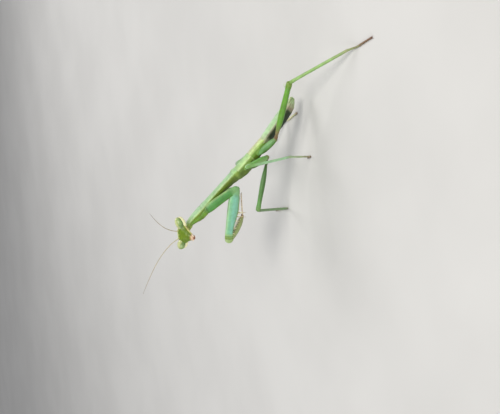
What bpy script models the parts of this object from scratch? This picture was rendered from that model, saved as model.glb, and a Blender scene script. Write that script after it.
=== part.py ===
"""Wingless praying mantis nymph, life size, standing on a flat floor with its forelegs folded.

+X points to the head end, +Y to the animal's left, +Z up, and the floor is z = 0.
The origin is on the floor under the middle of the bounding box.
"""

import math

import bmesh
import bpy
from mathutils import Matrix, Vector

for old in list(bpy.data.objects):
    bpy.data.objects.remove(old, do_unlink=True)

MM = 0.001

# Driving sizes. Lengths are in millimetres and angles in degrees.
WAIST = Vector((3.3, -4.55, 13.6))  # the joint of pronotum and mesothorax
PRONOTUM_LENGTH = 13.0
PRONOTUM_PITCH = 44.4
THORAX_LENGTH = 7.6  # mesothorax and metathorax together
THORAX_PITCH = 43.6
ABDOMEN_LENGTH = 9.8
ABDOMEN_PITCH = (37.0, 32.0)  # at the thorax and at the tip
HEAD_FROM_WAIST = Vector((10.60, 0.79, 10.95))  # to the point between the eyes
HEAD_TURN = (80.7, 62.6, 13.6)  # yaw to the left, lift of the face, roll
HEAD_DEPTH = 2.95  # from between the eyes down to the mouthparts
EYE_SPREAD = 2.18  # from the middle of the head to the middle of an eye
EYE_HALF = (0.80, 0.80, 1.22)  # front to back, across, and along the tilted long axis
EYE_TILT = 47.0
FEELER_THICK = 0.5
# Leg lengths from the body out: coxa, femur, tibia, tarsus.
FORE = (6.25, 9.65, 4.7, 4.8)
FORE_RIGHT = (6.75, 9.8, 4.7, 4.8)
MID = (3.75, 9.25, 10.0, 6.0)
MID_RIGHT = (4.6, 9.5, 9.6, 5.3)
HIND = (3.8, 11.72, 13.0, 6.0)
HIND_RIGHT = (3.0, 11.6, 12.2, 5.4)
FOOT_HALF = 0.25  # half the thickness of a tarsus
GAP = 0.1  # between neighbouring pieces

GREEN = (0.20, 0.46, 0.13)
MINT = (0.36, 0.60, 0.27)
OLIVE = (0.16, 0.27, 0.03)
LEAF = (0.13, 0.40, 0.12)
PALE_EYE = (0.38, 0.56, 0.22)
STRAW = (0.52, 0.44, 0.24)
BROWN = (0.20, 0.10, 0.04)
ROSE = (0.55, 0.36, 0.26)


def material(name, colour, roughness):
    made = bpy.data.materials.new(name)
    made.use_nodes = True
    shader = made.node_tree.nodes["Principled BSDF"]
    shader.inputs["Base Color"].default_value = (*colour, 1.0)
    shader.inputs["Roughness"].default_value = roughness
    shader.inputs["Metallic"].default_value = 0.0
    return made


def heading(azimuth, elevation):
    """Unit vector: azimuth turns from +X towards +Y, elevation lifts it."""
    a = math.radians(azimuth)
    e = math.radians(elevation)
    return Vector((math.cos(a) * math.cos(e), math.sin(a) * math.cos(e), math.sin(e)))


def placed(start, along, up=Vector((0, 0, 1))):
    """Matrix, in millimetres, with its origin at start, its X along the piece and its Z near up."""
    x = along.normalized()
    y = up.cross(x).normalized()
    z = x.cross(y)
    turn = Matrix((x, y, z)).transposed()
    return Matrix.Translation(start) @ turn.to_4x4()


def blend_rows(rows, fraction):
    """Half width, top and bottom at this fraction, eased between the rows of a profile."""
    for low, high in zip(rows, rows[1:]):
        if fraction <= high[0]:
            t = (fraction - low[0]) / (high[0] - low[0])
            t = t * t * (3 - 2 * t)
            return [a + (b - a) * t for a, b in zip(low[1:], high[1:])]
    return list(rows[-1][1:])


def ring(bm, centre, tilt, half_width, top, bottom, sides):
    """One cross-section of a body piece, leaning by tilt in the piece's XZ plane."""
    made = []
    for k in range(sides):
        angle = 2 * math.pi * (k + 0.5) / sides
        height = math.sin(angle)
        height *= top if height > 0 else bottom
        made.append(
            bm.verts.new(
                (
                    centre[0] - height * math.sin(tilt),
                    half_width * math.cos(angle),
                    centre[1] + height * math.cos(tilt),
                )
            )
        )
    return made


def loft(rows, line, sides, rings):
    """Closed bmesh along line, which gives x, z and tilt at a fraction, with rounded ends."""
    bm = bmesh.new()
    loops = []
    steps = [(0.0, -math.cos(math.radians(a)), math.sin(math.radians(a))) for a in (25, 58)]
    steps += [(k / (rings - 1), 0.0, 1.0) for k in range(rings)]
    steps += [(1.0, math.cos(math.radians(a)), math.sin(math.radians(a))) for a in (58, 25)]
    for fraction, beyond, shrink in steps:
        half_width, top, bottom = blend_rows(rows, fraction)
        x, z, tilt = line(fraction)
        reach = beyond * 0.5 * (top + bottom)
        centre = (x + reach * math.cos(tilt), z + reach * math.sin(tilt))
        loops.append(ring(bm, centre, tilt, half_width * shrink, top * shrink, bottom * shrink, sides))
    for first, second in zip(loops, loops[1:]):
        for k in range(sides):
            n = (k + 1) % sides
            bm.faces.new((first[k], first[n], second[n], second[k]))
    bm.faces.new(loops[0][::-1])
    bm.faces.new(loops[-1])
    bmesh.ops.recalc_face_normals(bm, faces=bm.faces)
    return bm


def straight(length):
    return lambda fraction: (fraction * length, 0.0, 0.0)


def cut(bm, matrix, point, normal):
    """Takes off what lies on the normal's side of a plane, and closes the piece there."""
    inverse = matrix.inverted()
    local_point = inverse @ point
    local_normal = inverse.to_3x3() @ normal
    found = bmesh.ops.bisect_plane(
        bm,
        geom=bm.verts[:] + bm.edges[:] + bm.faces[:],
        dist=1e-4,
        plane_co=local_point,
        plane_no=local_normal,
        clear_outer=True,
    )
    rim = [e for e in bm.edges if e.is_boundary]
    if rim:
        bmesh.ops.edgeloop_fill(bm, edges=rim)
    bmesh.ops.recalc_face_normals(bm, faces=bm.faces)
    return found


root = bpy.data.objects.new("mantis", None)
bpy.context.scene.collection.objects.link(root)


def finish(name, bm, matrix, colour, roughness=0.42):
    """Makes the object of a bmesh built in millimetres, and hangs it on the root."""
    bmesh.ops.scale(bm, vec=(MM, MM, MM), verts=bm.verts)
    mesh = bpy.data.meshes.new(name)
    bm.to_mesh(mesh)
    bm.free()
    mesh.shade_smooth()
    mesh.materials.append(material(name, colour, roughness))
    obj = bpy.data.objects.new(name, mesh)
    bpy.context.scene.collection.objects.link(obj)
    place = matrix.copy()
    place.translation = matrix.translation * MM
    obj.matrix_world = place
    obj.parent = root
    return obj


# Body. The three parts lie in one upright plane and meet at planes across the body.
SIDE = Vector((0, 1, 0))
pronotum_axis = heading(0, PRONOTUM_PITCH)
thorax_axis = heading(180, -THORAX_PITCH)
waist_across = (pronotum_axis - thorax_axis).normalized()
thorax_end = WAIST + thorax_axis * THORAX_LENGTH
thorax_middle = WAIST + thorax_axis * THORAX_LENGTH * 0.5
pronotum_end = WAIST + pronotum_axis * PRONOTUM_LENGTH

PRONOTUM_ROWS = (
    (0.00, 0.98, 0.78, 1.80),
    (0.08, 0.92, 0.78, 1.55),
    (0.22, 0.76, 0.76, 1.20),
    (0.45, 0.74, 0.76, 1.02),
    (0.60, 0.86, 0.76, 1.14),
    (0.70, 1.06, 0.78, 1.36),
    (0.80, 1.00, 0.78, 1.28),
    (1.00, 0.72, 0.64, 0.74),
)
place = placed(WAIST, pronotum_axis)
bm = loft(PRONOTUM_ROWS, straight(PRONOTUM_LENGTH), 16, 15)
cut(bm, place, WAIST + waist_across * GAP / 2, -waist_across)
cut(bm, place, pronotum_end, pronotum_axis)
finish("pronotum", bm, place, MINT)

THORAX_ROWS = (
    (0.00, 0.95, 0.78, 1.90),
    (0.20, 0.92, 0.74, 2.00),
    (0.45, 0.86, 0.78, 1.80),
    (0.75, 0.90, 0.86, 1.55),
    (1.00, 0.85, 0.86, 1.28),
)
for name, first, last in (("mesothorax", WAIST, thorax_middle), ("metathorax", thorax_middle, thorax_end)):
    place = placed(WAIST, thorax_axis)
    bm = loft(THORAX_ROWS, straight(THORAX_LENGTH), 16, 9)
    start_across = waist_across if first is WAIST else -thorax_axis
    cut(bm, place, first - start_across * GAP / 2, start_across)
    cut(bm, place, last - thorax_axis * GAP / 2, thorax_axis)
    finish(name, bm, place, MINT)


def abdomen_pitch(fraction):
    low, high = ABDOMEN_PITCH
    return math.radians(low + (high - low) * fraction**1.6)


def abdomen_line(fraction):
    """Centre line of the abdomen, curling down towards the tip, in its own XZ plane."""
    steps = 24
    x = z = 0.0
    for k in range(steps):
        pitch = abdomen_pitch(fraction * (k + 0.5) / steps)
        x += math.cos(pitch) * fraction * ABDOMEN_LENGTH / steps
        z -= math.sin(pitch) * fraction * ABDOMEN_LENGTH / steps
    return x, z, -abdomen_pitch(fraction)


ABDOMEN_ROWS = (
    (0.00, 0.84, 0.86, 1.22),
    (0.30, 0.95, 0.90, 1.38),
    (0.58, 1.04, 0.88, 1.45),
    (0.82, 0.78, 0.56, 1.36),
    (1.00, 0.46, 0.34, 0.48),
)
place = placed(thorax_end, Vector((-1, 0, 0)))
bm = loft(ABDOMEN_ROWS, abdomen_line, 16, 16)
cut(bm, place, thorax_end + thorax_axis * GAP / 2, -thorax_axis)
finish("abdomen", bm, place, MINT)

tip_x, tip_z, tip_tilt = abdomen_line(0.93)
for name, sign in (("cercus_left", 1), ("cercus_right", -1)):
    start = thorax_end + Vector((-tip_x, sign * 0.5, tip_z)) + Vector((0.1, 0, 0.62))
    along = heading(180 - sign * 14, -8)
    place = placed(start, along)
    bm = loft(((0.0, 0.25, 0.25, 0.25), (1.0, 0.25, 0.25, 0.25)), straight(1.0), 8, 3)
    finish(name, bm, place, STRAW)

# Head. Its own frame has X out of the face, Y to its left and Z from mouth to crown.
head_centre = WAIST + HEAD_FROM_WAIST
yaw, lift, roll = (math.radians(a) for a in HEAD_TURN)
head = (
    Matrix.Translation(head_centre)
    @ Matrix.Rotation(yaw, 4, "Z")
    @ Matrix.Rotation(-lift, 4, "Y")
    @ Matrix.Rotation(roll, 4, "X")
)
crown_to_mouth = Matrix.Rotation(math.pi / 2, 4, "Y")
CROWN = 0.50
CAPSULE_ROWS = (
    (0.00, 1.20, 0.30, 0.45),
    (0.12, 2.05, 0.55, 0.85),
    (0.28, 2.25, 0.72, 0.98),
    (0.45, 1.80, 0.76, 0.92),
    (0.70, 1.05, 0.70, 0.74),
    (1.00, 0.55, 0.50, 0.42),
)
place = head @ Matrix.Translation((0, 0, CROWN)) @ crown_to_mouth
bm = loft(CAPSULE_ROWS, straight(CROWN + HEAD_DEPTH), 16, 12)
mouth_plane = head @ Vector((0, 0, -HEAD_DEPTH))
down = head.to_3x3() @ Vector((0, 0, -1))
face = head.to_3x3() @ Vector((1, 0, 0))
cut(bm, place, mouth_plane - down * GAP / 2, down)
eye_planes = {}
for sign in (1, -1):
    out = head.to_3x3() @ Vector((0, sign * 0.94, 0.34))
    eye_middle = head @ Vector((0.1, sign * EYE_SPREAD, 0))
    eye_planes[sign] = (eye_middle - out * 0.38, out)
    cut(bm, place, eye_planes[sign][0] - out * GAP / 2, out)
finish("head", bm, place, OLIVE)

place = head @ Matrix.Translation((0, 0, -HEAD_DEPTH)) @ crown_to_mouth
bm = loft(((0.0, 0.52, 0.48, 0.40), (1.0, 0.34, 0.30, 0.30)), straight(0.62), 12, 4)
cut(bm, place, mouth_plane + down * GAP / 2, -down)
finish("mouthparts", bm, place, ROSE)

for name, sign in (("eye_left", 1), ("eye_right", -1)):
    lean = Matrix.Rotation(math.radians(-sign * EYE_TILT), 4, "X")
    place = head @ Matrix.Translation((0.1, sign * EYE_SPREAD, 0)) @ lean
    bm = bmesh.new()
    bmesh.ops.create_uvsphere(bm, u_segments=16, v_segments=10, radius=1.0)
    bmesh.ops.scale(bm, vec=EYE_HALF, verts=bm.verts)
    point, out = eye_planes[sign]
    cut(bm, place, point + out * GAP / 2, -out)
    finish(name, bm, place, PALE_EYE, 0.2)

NECK_ROWS = ((0.0, 0.64, 0.40, 0.76), (1.0, 0.68, 0.46, 0.62))
nape = head @ Vector((-0.98 - GAP, 0, -0.25))
neck_start = pronotum_end + pronotum_axis * GAP
place = placed(neck_start, nape - neck_start)
bm = loft(NECK_ROWS, straight((nape - neck_start).length), 10, 4)
cut(bm, place, neck_start, -pronotum_axis)
cut(bm, place, nape, face)
finish("neck", bm, place, OLIVE)


def feeler(name, start, bends, colour):
    """Thin tube that runs through a chain of (length, azimuth, elevation) bends."""
    points = [start]
    for length, azimuth, elevation in bends:
        points.append(points[-1] + heading(azimuth, elevation) * length)
    bm = bmesh.new()
    loops = []
    for k, point in enumerate(points):
        before = points[max(k - 1, 0)]
        after = points[min(k + 1, len(points) - 1)]
        frame = placed(point, after - before, Vector((-1, 0.3, 0)))
        radius = FEELER_THICK / 2 * (0.7 if k in (0, len(points) - 1) else 1.0)
        loops.append(
            [
                bm.verts.new(frame @ Vector((0, radius * math.cos(a), radius * math.sin(a))))
                for a in (math.radians(60 * n) for n in range(6))
            ]
        )
    for first, second in zip(loops, loops[1:]):
        for k in range(6):
            n = (k + 1) % 6
            bm.faces.new((first[k], first[n], second[n], second[k]))
    bm.faces.new(loops[0][::-1])
    bm.faces.new(loops[-1])
    bmesh.ops.recalc_face_normals(bm, faces=bm.faces)
    bmesh.ops.translate(bm, vec=-start, verts=bm.verts)
    finish(name, bm, Matrix.Translation(start), colour)


def eased_bends(total, start, end, count):
    """Even steps of a feeler whose azimuth and elevation ease from start to end."""
    made = []
    for k in range(count):
        t = (k + 0.5) / count
        t = 1 - (1 - t) ** 2.2
        made.append((total / count, start[0] + (end[0] - start[0]) * t, start[1] + (end[1] - start[1]) * t))
    return made


for name, sign, start_bend, end_bend, total in (
    ("antenna_left", 1, (126, 62), (148, 34), 10.2),
    ("antenna_right", -1, (20, 66), (1, 22), 12.3),
):
    socket = head @ Vector((0.80 + GAP, sign * 0.74, -0.15))
    feeler(name, socket + face * 0.1, eased_bends(total, start_bend, end_bend, 9), STRAW)


# Legs.
def mitre(incoming, outgoing):
    """Normal of the plane across a joint, from the segment that comes in to the one that goes out."""
    return (incoming + outgoing).normalized()


def stretch(rows, thickness):
    """Rows of a round segment from pairs of fraction and half thickness."""
    return tuple((f, r * thickness, r * thickness, r * thickness) for f, r in rows)


def bone(name, start, along, length, rows, cuts, colour, up=Vector((0, 0, 1)), sides=8, rings=7):
    """One straight segment with rounded ends, trimmed by planes given as (point, normal)."""
    place = placed(start, along, up)
    bm = loft(rows, straight(length), sides, rings)
    for point, normal in cuts:
        cut(bm, place, point, normal)
    finish(name, bm, place, colour)


def foot(name, ankle, incoming, azimuth, length, colour):
    """Tarsus that slopes from the ankle down to the floor and lies on it with a small flat sole."""
    drop = ankle.z - FOOT_HALF * 0.8
    lying = max(0.9, length - drop * 2.4)
    sloping = length - lying
    run = math.sqrt(max(sloping * sloping - drop * drop, 0.04))
    slope = math.atan2(drop, run)

    def line(fraction):
        along = fraction * length
        if along <= sloping:
            return run * along / sloping, -drop * along / sloping, -slope * min(1.0, 1.35 - along / sloping)
        return run + along - sloping, -drop, 0.0

    place = placed(ankle, heading(azimuth, 0))
    half = FOOT_HALF
    bm = loft(((0.0, half, half, half), (1.0, half, half, half)), line, 8, 12)
    outgoing = heading(azimuth, -math.degrees(slope))
    across = mitre(incoming, outgoing)
    cut(bm, place, ankle + across * GAP / 2, -across)
    for v in bm.verts:
        v.co.z = max(v.co.z, -ankle.z)
    finish(name, bm, place, colour)


def walking_leg(tag, base, body_plane, sizes, angles, girth, foot_azimuth, knee_drop):
    """Coxa, femur, tibia and tarsus from the body out; angles are (azimuth, elevation) of the first three."""
    coxa_dir, femur_dir, tibia_dir = (heading(*a) for a in angles)
    coxa, femur, tibia, tarsus = sizes
    hip = base + coxa_dir * coxa
    knee = hip + femur_dir * femur
    inner = (tibia_dir - femur_dir * tibia_dir.dot(femur_dir)).normalized()
    hinge = knee + inner * knee_drop
    ankle = knee + tibia_dir * tibia
    hip_across = mitre(coxa_dir, femur_dir)
    knee_across = mitre(femur_dir, tibia_dir)
    drop = ankle.z - FOOT_HALF * 0.8
    lying = max(0.9, tarsus - drop * 2.4)
    sloping = tarsus - lying
    run = math.sqrt(max(sloping * sloping - drop * drop, 0.04))
    ankle_across = mitre(tibia_dir, heading(foot_azimuth, -math.degrees(math.atan2(drop, run))))
    coxa_half, femur_half, tibia_half = girth
    bone(
        f"coxa_{tag}",
        base,
        coxa_dir,
        coxa,
        stretch(((0, 1.0), (0.35, 0.95), (0.8, 0.72), (1, 0.62)), coxa_half),
        [body_plane, (hip - hip_across * GAP / 2, hip_across)],
        GREEN,
        sides=12,
        rings=6,
    )
    bone(
        f"femur_{tag}",
        hip,
        femur_dir,
        femur,
        stretch(((0, 0.8), (0.16, 1.0), (0.55, 0.84), (0.9, 0.66), (1, 0.72)), femur_half),
        [(hip + hip_across * GAP / 2, -hip_across), (hinge - knee_across * GAP / 2, knee_across)],
        LEAF,
        sides=10,
        rings=8,
    )
    bone(
        f"tibia_{tag}",
        knee + inner * knee_drop * 0.6,
        ankle - knee - inner * knee_drop * 0.6,
        tibia,
        stretch(((0, 1.05), (0.12, 0.95), (0.7, 0.86), (1, 0.9)), tibia_half),
        [(hinge + knee_across * GAP / 2, -knee_across), (ankle - ankle_across * GAP / 2, ankle_across)],
        MINT,
    )
    foot(f"tarsus_{tag}", ankle, tibia_dir, foot_azimuth, tarsus, BROWN)


def beside_thorax(fraction, sign, beside, below_axis, slant):
    """A coxa's base and the plane that keeps it off the thorax; slant turns the plane downwards."""
    axis_point = WAIST + thorax_axis * THORAX_LENGTH * fraction
    below = Vector((-thorax_axis.z, 0, thorax_axis.x))
    half_width, _, depth = blend_rows(THORAX_ROWS, fraction)
    a = math.radians(slant)
    out = SIDE * sign * math.cos(a) + below * math.sin(a)
    reach = math.hypot(half_width * math.cos(a), depth * math.sin(a)) + GAP
    base = axis_point + SIDE * sign * beside + below * below_axis
    return base, (axis_point + out * reach, -out)


MID_GIRTH = (0.80, 0.50, 0.31)
HIND_GIRTH = (0.76, 0.60, 0.34)
base, plane = beside_thorax(0.323, 1, 0.95, 0.92, 45)
walking_leg("mid_left", base, plane, MID, ((173, -65), (95, 49), (-100, -76.5)), MID_GIRTH, -45, 0.25)
base, plane = beside_thorax(0.323, -1, 0.95, 0.92, 45)
walking_leg("mid_right", base, plane, MID_RIGHT, ((-74, -84), (10, 12.5), (-65, -62)), MID_GIRTH, -66, 0.1)
base, plane = beside_thorax(0.76, 1, 0.75, 0.7, 40)
walking_leg("hind_left", base, plane, HIND, ((151, -35), (163.2, -1.5), (127.7, -25.6)), HIND_GIRTH, 118, 0.0)
base, plane = beside_thorax(0.76, -1, 0.75, 0.7, 40)
walking_leg("hind_right", base, plane, HIND_RIGHT, ((-138, -61.5), (-52.6, 9.7), (158.3, -37.8)), HIND_GIRTH, 124, 0.2)


def raptorial_leg(tag, sign, sizes, coxa_angles):
    """Folded grasping leg: the tibia closes back under the femur and the tarsus trails from it."""
    base_fraction = 0.681
    coxa, femur, tibia, tarsus = sizes
    below = Vector((pronotum_axis.z, 0, -pronotum_axis.x))
    axis_point = WAIST + pronotum_axis * PRONOTUM_LENGTH * base_fraction
    base = axis_point + SIDE * sign * 0.95 + below * 0.46
    half_width, _, depth = blend_rows(PRONOTUM_ROWS, base_fraction)
    slant = math.radians(32)
    out = SIDE * sign * math.cos(slant) + below * math.sin(slant)
    reach = math.hypot(half_width * math.cos(slant), depth * math.sin(slant)) + GAP
    coxa_dir = heading(*coxa_angles)
    femur_dir = heading(-1.1, 3.5)
    tibia_dir = heading(-178.6, -30)
    tarsus_dir = heading(180, 2.5)
    hip = base + coxa_dir * coxa
    knee = hip + femur_dir * femur
    inner = (tibia_dir - femur_dir * tibia_dir.dot(femur_dir)).normalized()
    hinge = knee + inner * 0.45
    wrist = knee + tibia_dir * tibia
    hip_across = mitre(coxa_dir, femur_dir)
    knee_across = mitre(femur_dir, tibia_dir)
    wrist_across = Vector((-1, 0, 0))
    bone(
        f"fore_coxa_{tag}",
        base,
        coxa_dir,
        coxa,
        (
            (0.00, 0.68, 0.98, 0.98),
            (0.35, 0.62, 0.88, 0.88),
            (0.85, 0.52, 0.76, 0.76),
            (1.00, 0.50, 0.70, 0.70),
        ),
        [(axis_point + out * reach, -out), (hip - hip_across * GAP / 2, hip_across)],
        GREEN,
        up=SIDE.cross(coxa_dir),
        sides=12,
        rings=9,
    )
    bone(
        f"fore_femur_{tag}",
        hip,
        femur_dir,
        femur,
        (
            (0.00, 0.44, 0.74, 0.86),
            (0.16, 0.52, 0.86, 1.08),
            (0.38, 0.56, 0.98, 1.24),
            (0.60, 0.52, 0.94, 0.82),
            (0.80, 0.46, 0.86, 0.56),
            (0.93, 0.44, 0.72, 0.62),
            (1.00, 0.40, 0.62, 0.60),
        ),
        [(hip + hip_across * GAP / 2, -hip_across), (hinge - knee_across * GAP / 2, knee_across)],
        LEAF,
        sides=14,
        rings=16,
    )
    claw_length = 1.1
    length = tibia + claw_length
    bone(
        f"fore_tibia_{tag}",
        knee + inner * 0.25,
        wrist - knee - inner * 0.25,
        length,
        (
            (0.00, 0.36, 0.42, 0.42),
            (0.15, 0.34, 0.42, 0.42),
            (tibia / length - 0.06, 0.31, 0.38, 0.40),
            (tibia / length + 0.06, 0.22, 0.14, 0.32),
            (1.00, 0.12, 0.05, 0.12),
        ),
        [(hinge + knee_across * GAP / 2, -knee_across)],
        OLIVE,
        sides=10,
        rings=12,
    )
    start = wrist + tarsus_dir * (0.30 + GAP) + Vector((0, 0, 0.18))
    bone(
        f"fore_tarsus_{tag}",
        start,
        tarsus_dir,
        tarsus - 0.5,
        ((0, 0.25, 0.25, 0.25), (1, 0.25, 0.25, 0.25)),
        [],
        STRAW,
        rings=6,
    )


raptorial_leg("left", 1, FORE, (164, -51.5))
raptorial_leg("right", -1, FORE_RIGHT, (-173.4, -68.6))
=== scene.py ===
"""A wingless praying mantis nymph, life size, standing on a pale floor with its forelegs folded."""

import math

import bmesh
import bpy
import numpy as np
from mathutils import Matrix, Vector


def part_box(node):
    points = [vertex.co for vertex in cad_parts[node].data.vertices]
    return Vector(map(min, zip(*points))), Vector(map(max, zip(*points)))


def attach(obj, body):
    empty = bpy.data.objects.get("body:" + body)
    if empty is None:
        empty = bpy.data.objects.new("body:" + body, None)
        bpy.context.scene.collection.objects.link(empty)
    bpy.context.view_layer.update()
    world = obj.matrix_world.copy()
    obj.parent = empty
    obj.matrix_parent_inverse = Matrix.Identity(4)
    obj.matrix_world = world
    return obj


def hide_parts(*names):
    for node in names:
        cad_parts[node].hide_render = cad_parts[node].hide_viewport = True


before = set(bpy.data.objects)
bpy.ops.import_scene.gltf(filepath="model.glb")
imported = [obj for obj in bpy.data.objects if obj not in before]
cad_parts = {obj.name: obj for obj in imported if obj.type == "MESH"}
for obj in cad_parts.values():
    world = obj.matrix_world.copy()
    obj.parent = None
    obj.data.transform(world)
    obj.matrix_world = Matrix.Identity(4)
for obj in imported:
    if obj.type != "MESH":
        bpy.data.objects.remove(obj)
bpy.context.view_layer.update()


# PRONOTUM
# The long saddle-shaped shield behind the head, one horny plate with a toothed keel down each
# side. It widens over the forelegs, where a groove crosses it, and its rear rim laps over the
# next ring of the body. All sizes from here on are in millimetres.
WAIST = (3.3, -4.55, 13.6)
PRONOTUM_FRONT = (12.588, -4.55, 22.696)
# A fraction of the length, and half the width, the height above and the depth below there.
PRONOTUM_GIRTHS = (
    (-0.02, 0.96, 0.79, 1.86), (0.03, 0.96, 0.80, 1.74), (0.10, 0.90, 0.79, 1.44),
    (0.22, 0.78, 0.78, 1.16), (0.45, 0.76, 0.79, 1.01), (0.60, 0.88, 0.79, 1.13),
    (0.70, 1.05, 0.81, 1.36), (0.80, 1.01, 0.81, 1.28), (0.92, 0.83, 0.76, 0.90),
    (1.00, 0.72, 0.67, 0.72),
)


def unit(vector):
    """The same direction, one long."""
    return vector / np.linalg.norm(vector)


def between(first, second, fraction):
    """The place at this fraction of the way from the first to the second."""
    return np.array(first) * (1 - fraction) + np.array(second) * fraction


def round_rows(*rows):
    """Girths of a round tube. Each row is a fraction of the length and a radius."""
    return [(f, r, r, r) for f, r in rows]


def eased(rows, at):
    """The girths at these fractions, by a smooth curve that never overshoots its rows."""
    rows = np.array(rows, float)
    x, y = rows[:, 0], rows[:, 1:]
    step = np.diff(x)[:, None]
    slope = np.diff(y, axis=0) / step
    tangent = np.zeros_like(y)
    same = slope[:-1] * slope[1:] > 0
    total = slope[:-1] + slope[1:]
    tangent[1:-1] = np.where(same, 2 * slope[:-1] * slope[1:] / np.where(same, total, 1), 0)
    at = np.clip(at, x[0], x[-1])
    k = np.clip(np.searchsorted(x, at, side="right") - 1, 0, len(x) - 2)
    h = (x[k + 1] - x[k])[:, None]
    t = ((at - x[k])[:, None]) / h
    return (
        (1 + 2 * t) * (1 - t) ** 2 * y[k]
        + t * (1 - t) ** 2 * h * tangent[k]
        + t * t * (3 - 2 * t) * y[k + 1]
        + t * t * (t - 1) * h * tangent[k + 1]
    )


def drawn_through(points, count):
    """Evenly spaced places on a smooth curve through the points, and how far along each one lies."""
    points = np.array(points, float)
    if len(points) == 2:
        at = np.linspace(0, 1, count)
        return points[0] + (points[1] - points[0]) * at[:, None], at
    ahead = np.vstack([2 * points[0] - points[1], points, 2 * points[-1] - points[-2]])
    fine, steps = [], 24
    for k in range(len(points) - 1):
        a, b, c, d = ahead[k : k + 4]
        t = np.linspace(0, 1, steps, endpoint=k == len(points) - 2)[:, None]
        bend = (2 * a - 5 * b + 4 * c - d) * t**2 + (3 * b - a - 3 * c + d) * t**3
        fine.append(0.5 * (2 * b + (c - a) * t + bend))
    fine = np.vstack(fine)
    run = np.concatenate([[0], np.cumsum(np.linalg.norm(np.diff(fine, axis=0), axis=1))])
    at = np.linspace(0, run[-1], count)
    return np.stack([np.interp(at, run, fine[:, k]) for k in range(3)], 1), at / run[-1]


def peak(x, centre, width):
    """A smooth bump of height one."""
    return np.exp(-(((x - centre) / width) ** 2))


def rise(x, low, high):
    """Eases from nothing at low to one at high."""
    t = np.clip((x - low) / (high - low), 0, 1)
    return t * t * (3 - 2 * t)


def stretch(x, start, full, fade, stop):
    """Rises from start to full, and dies away from fade to stop."""
    return rise(x, start, full) * (1 - rise(x, fade, stop))


def placed(name, data):
    """A new object in the scene."""
    made = bpy.data.objects.new(name, data)
    bpy.context.scene.collection.objects.link(made)
    return made


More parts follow.
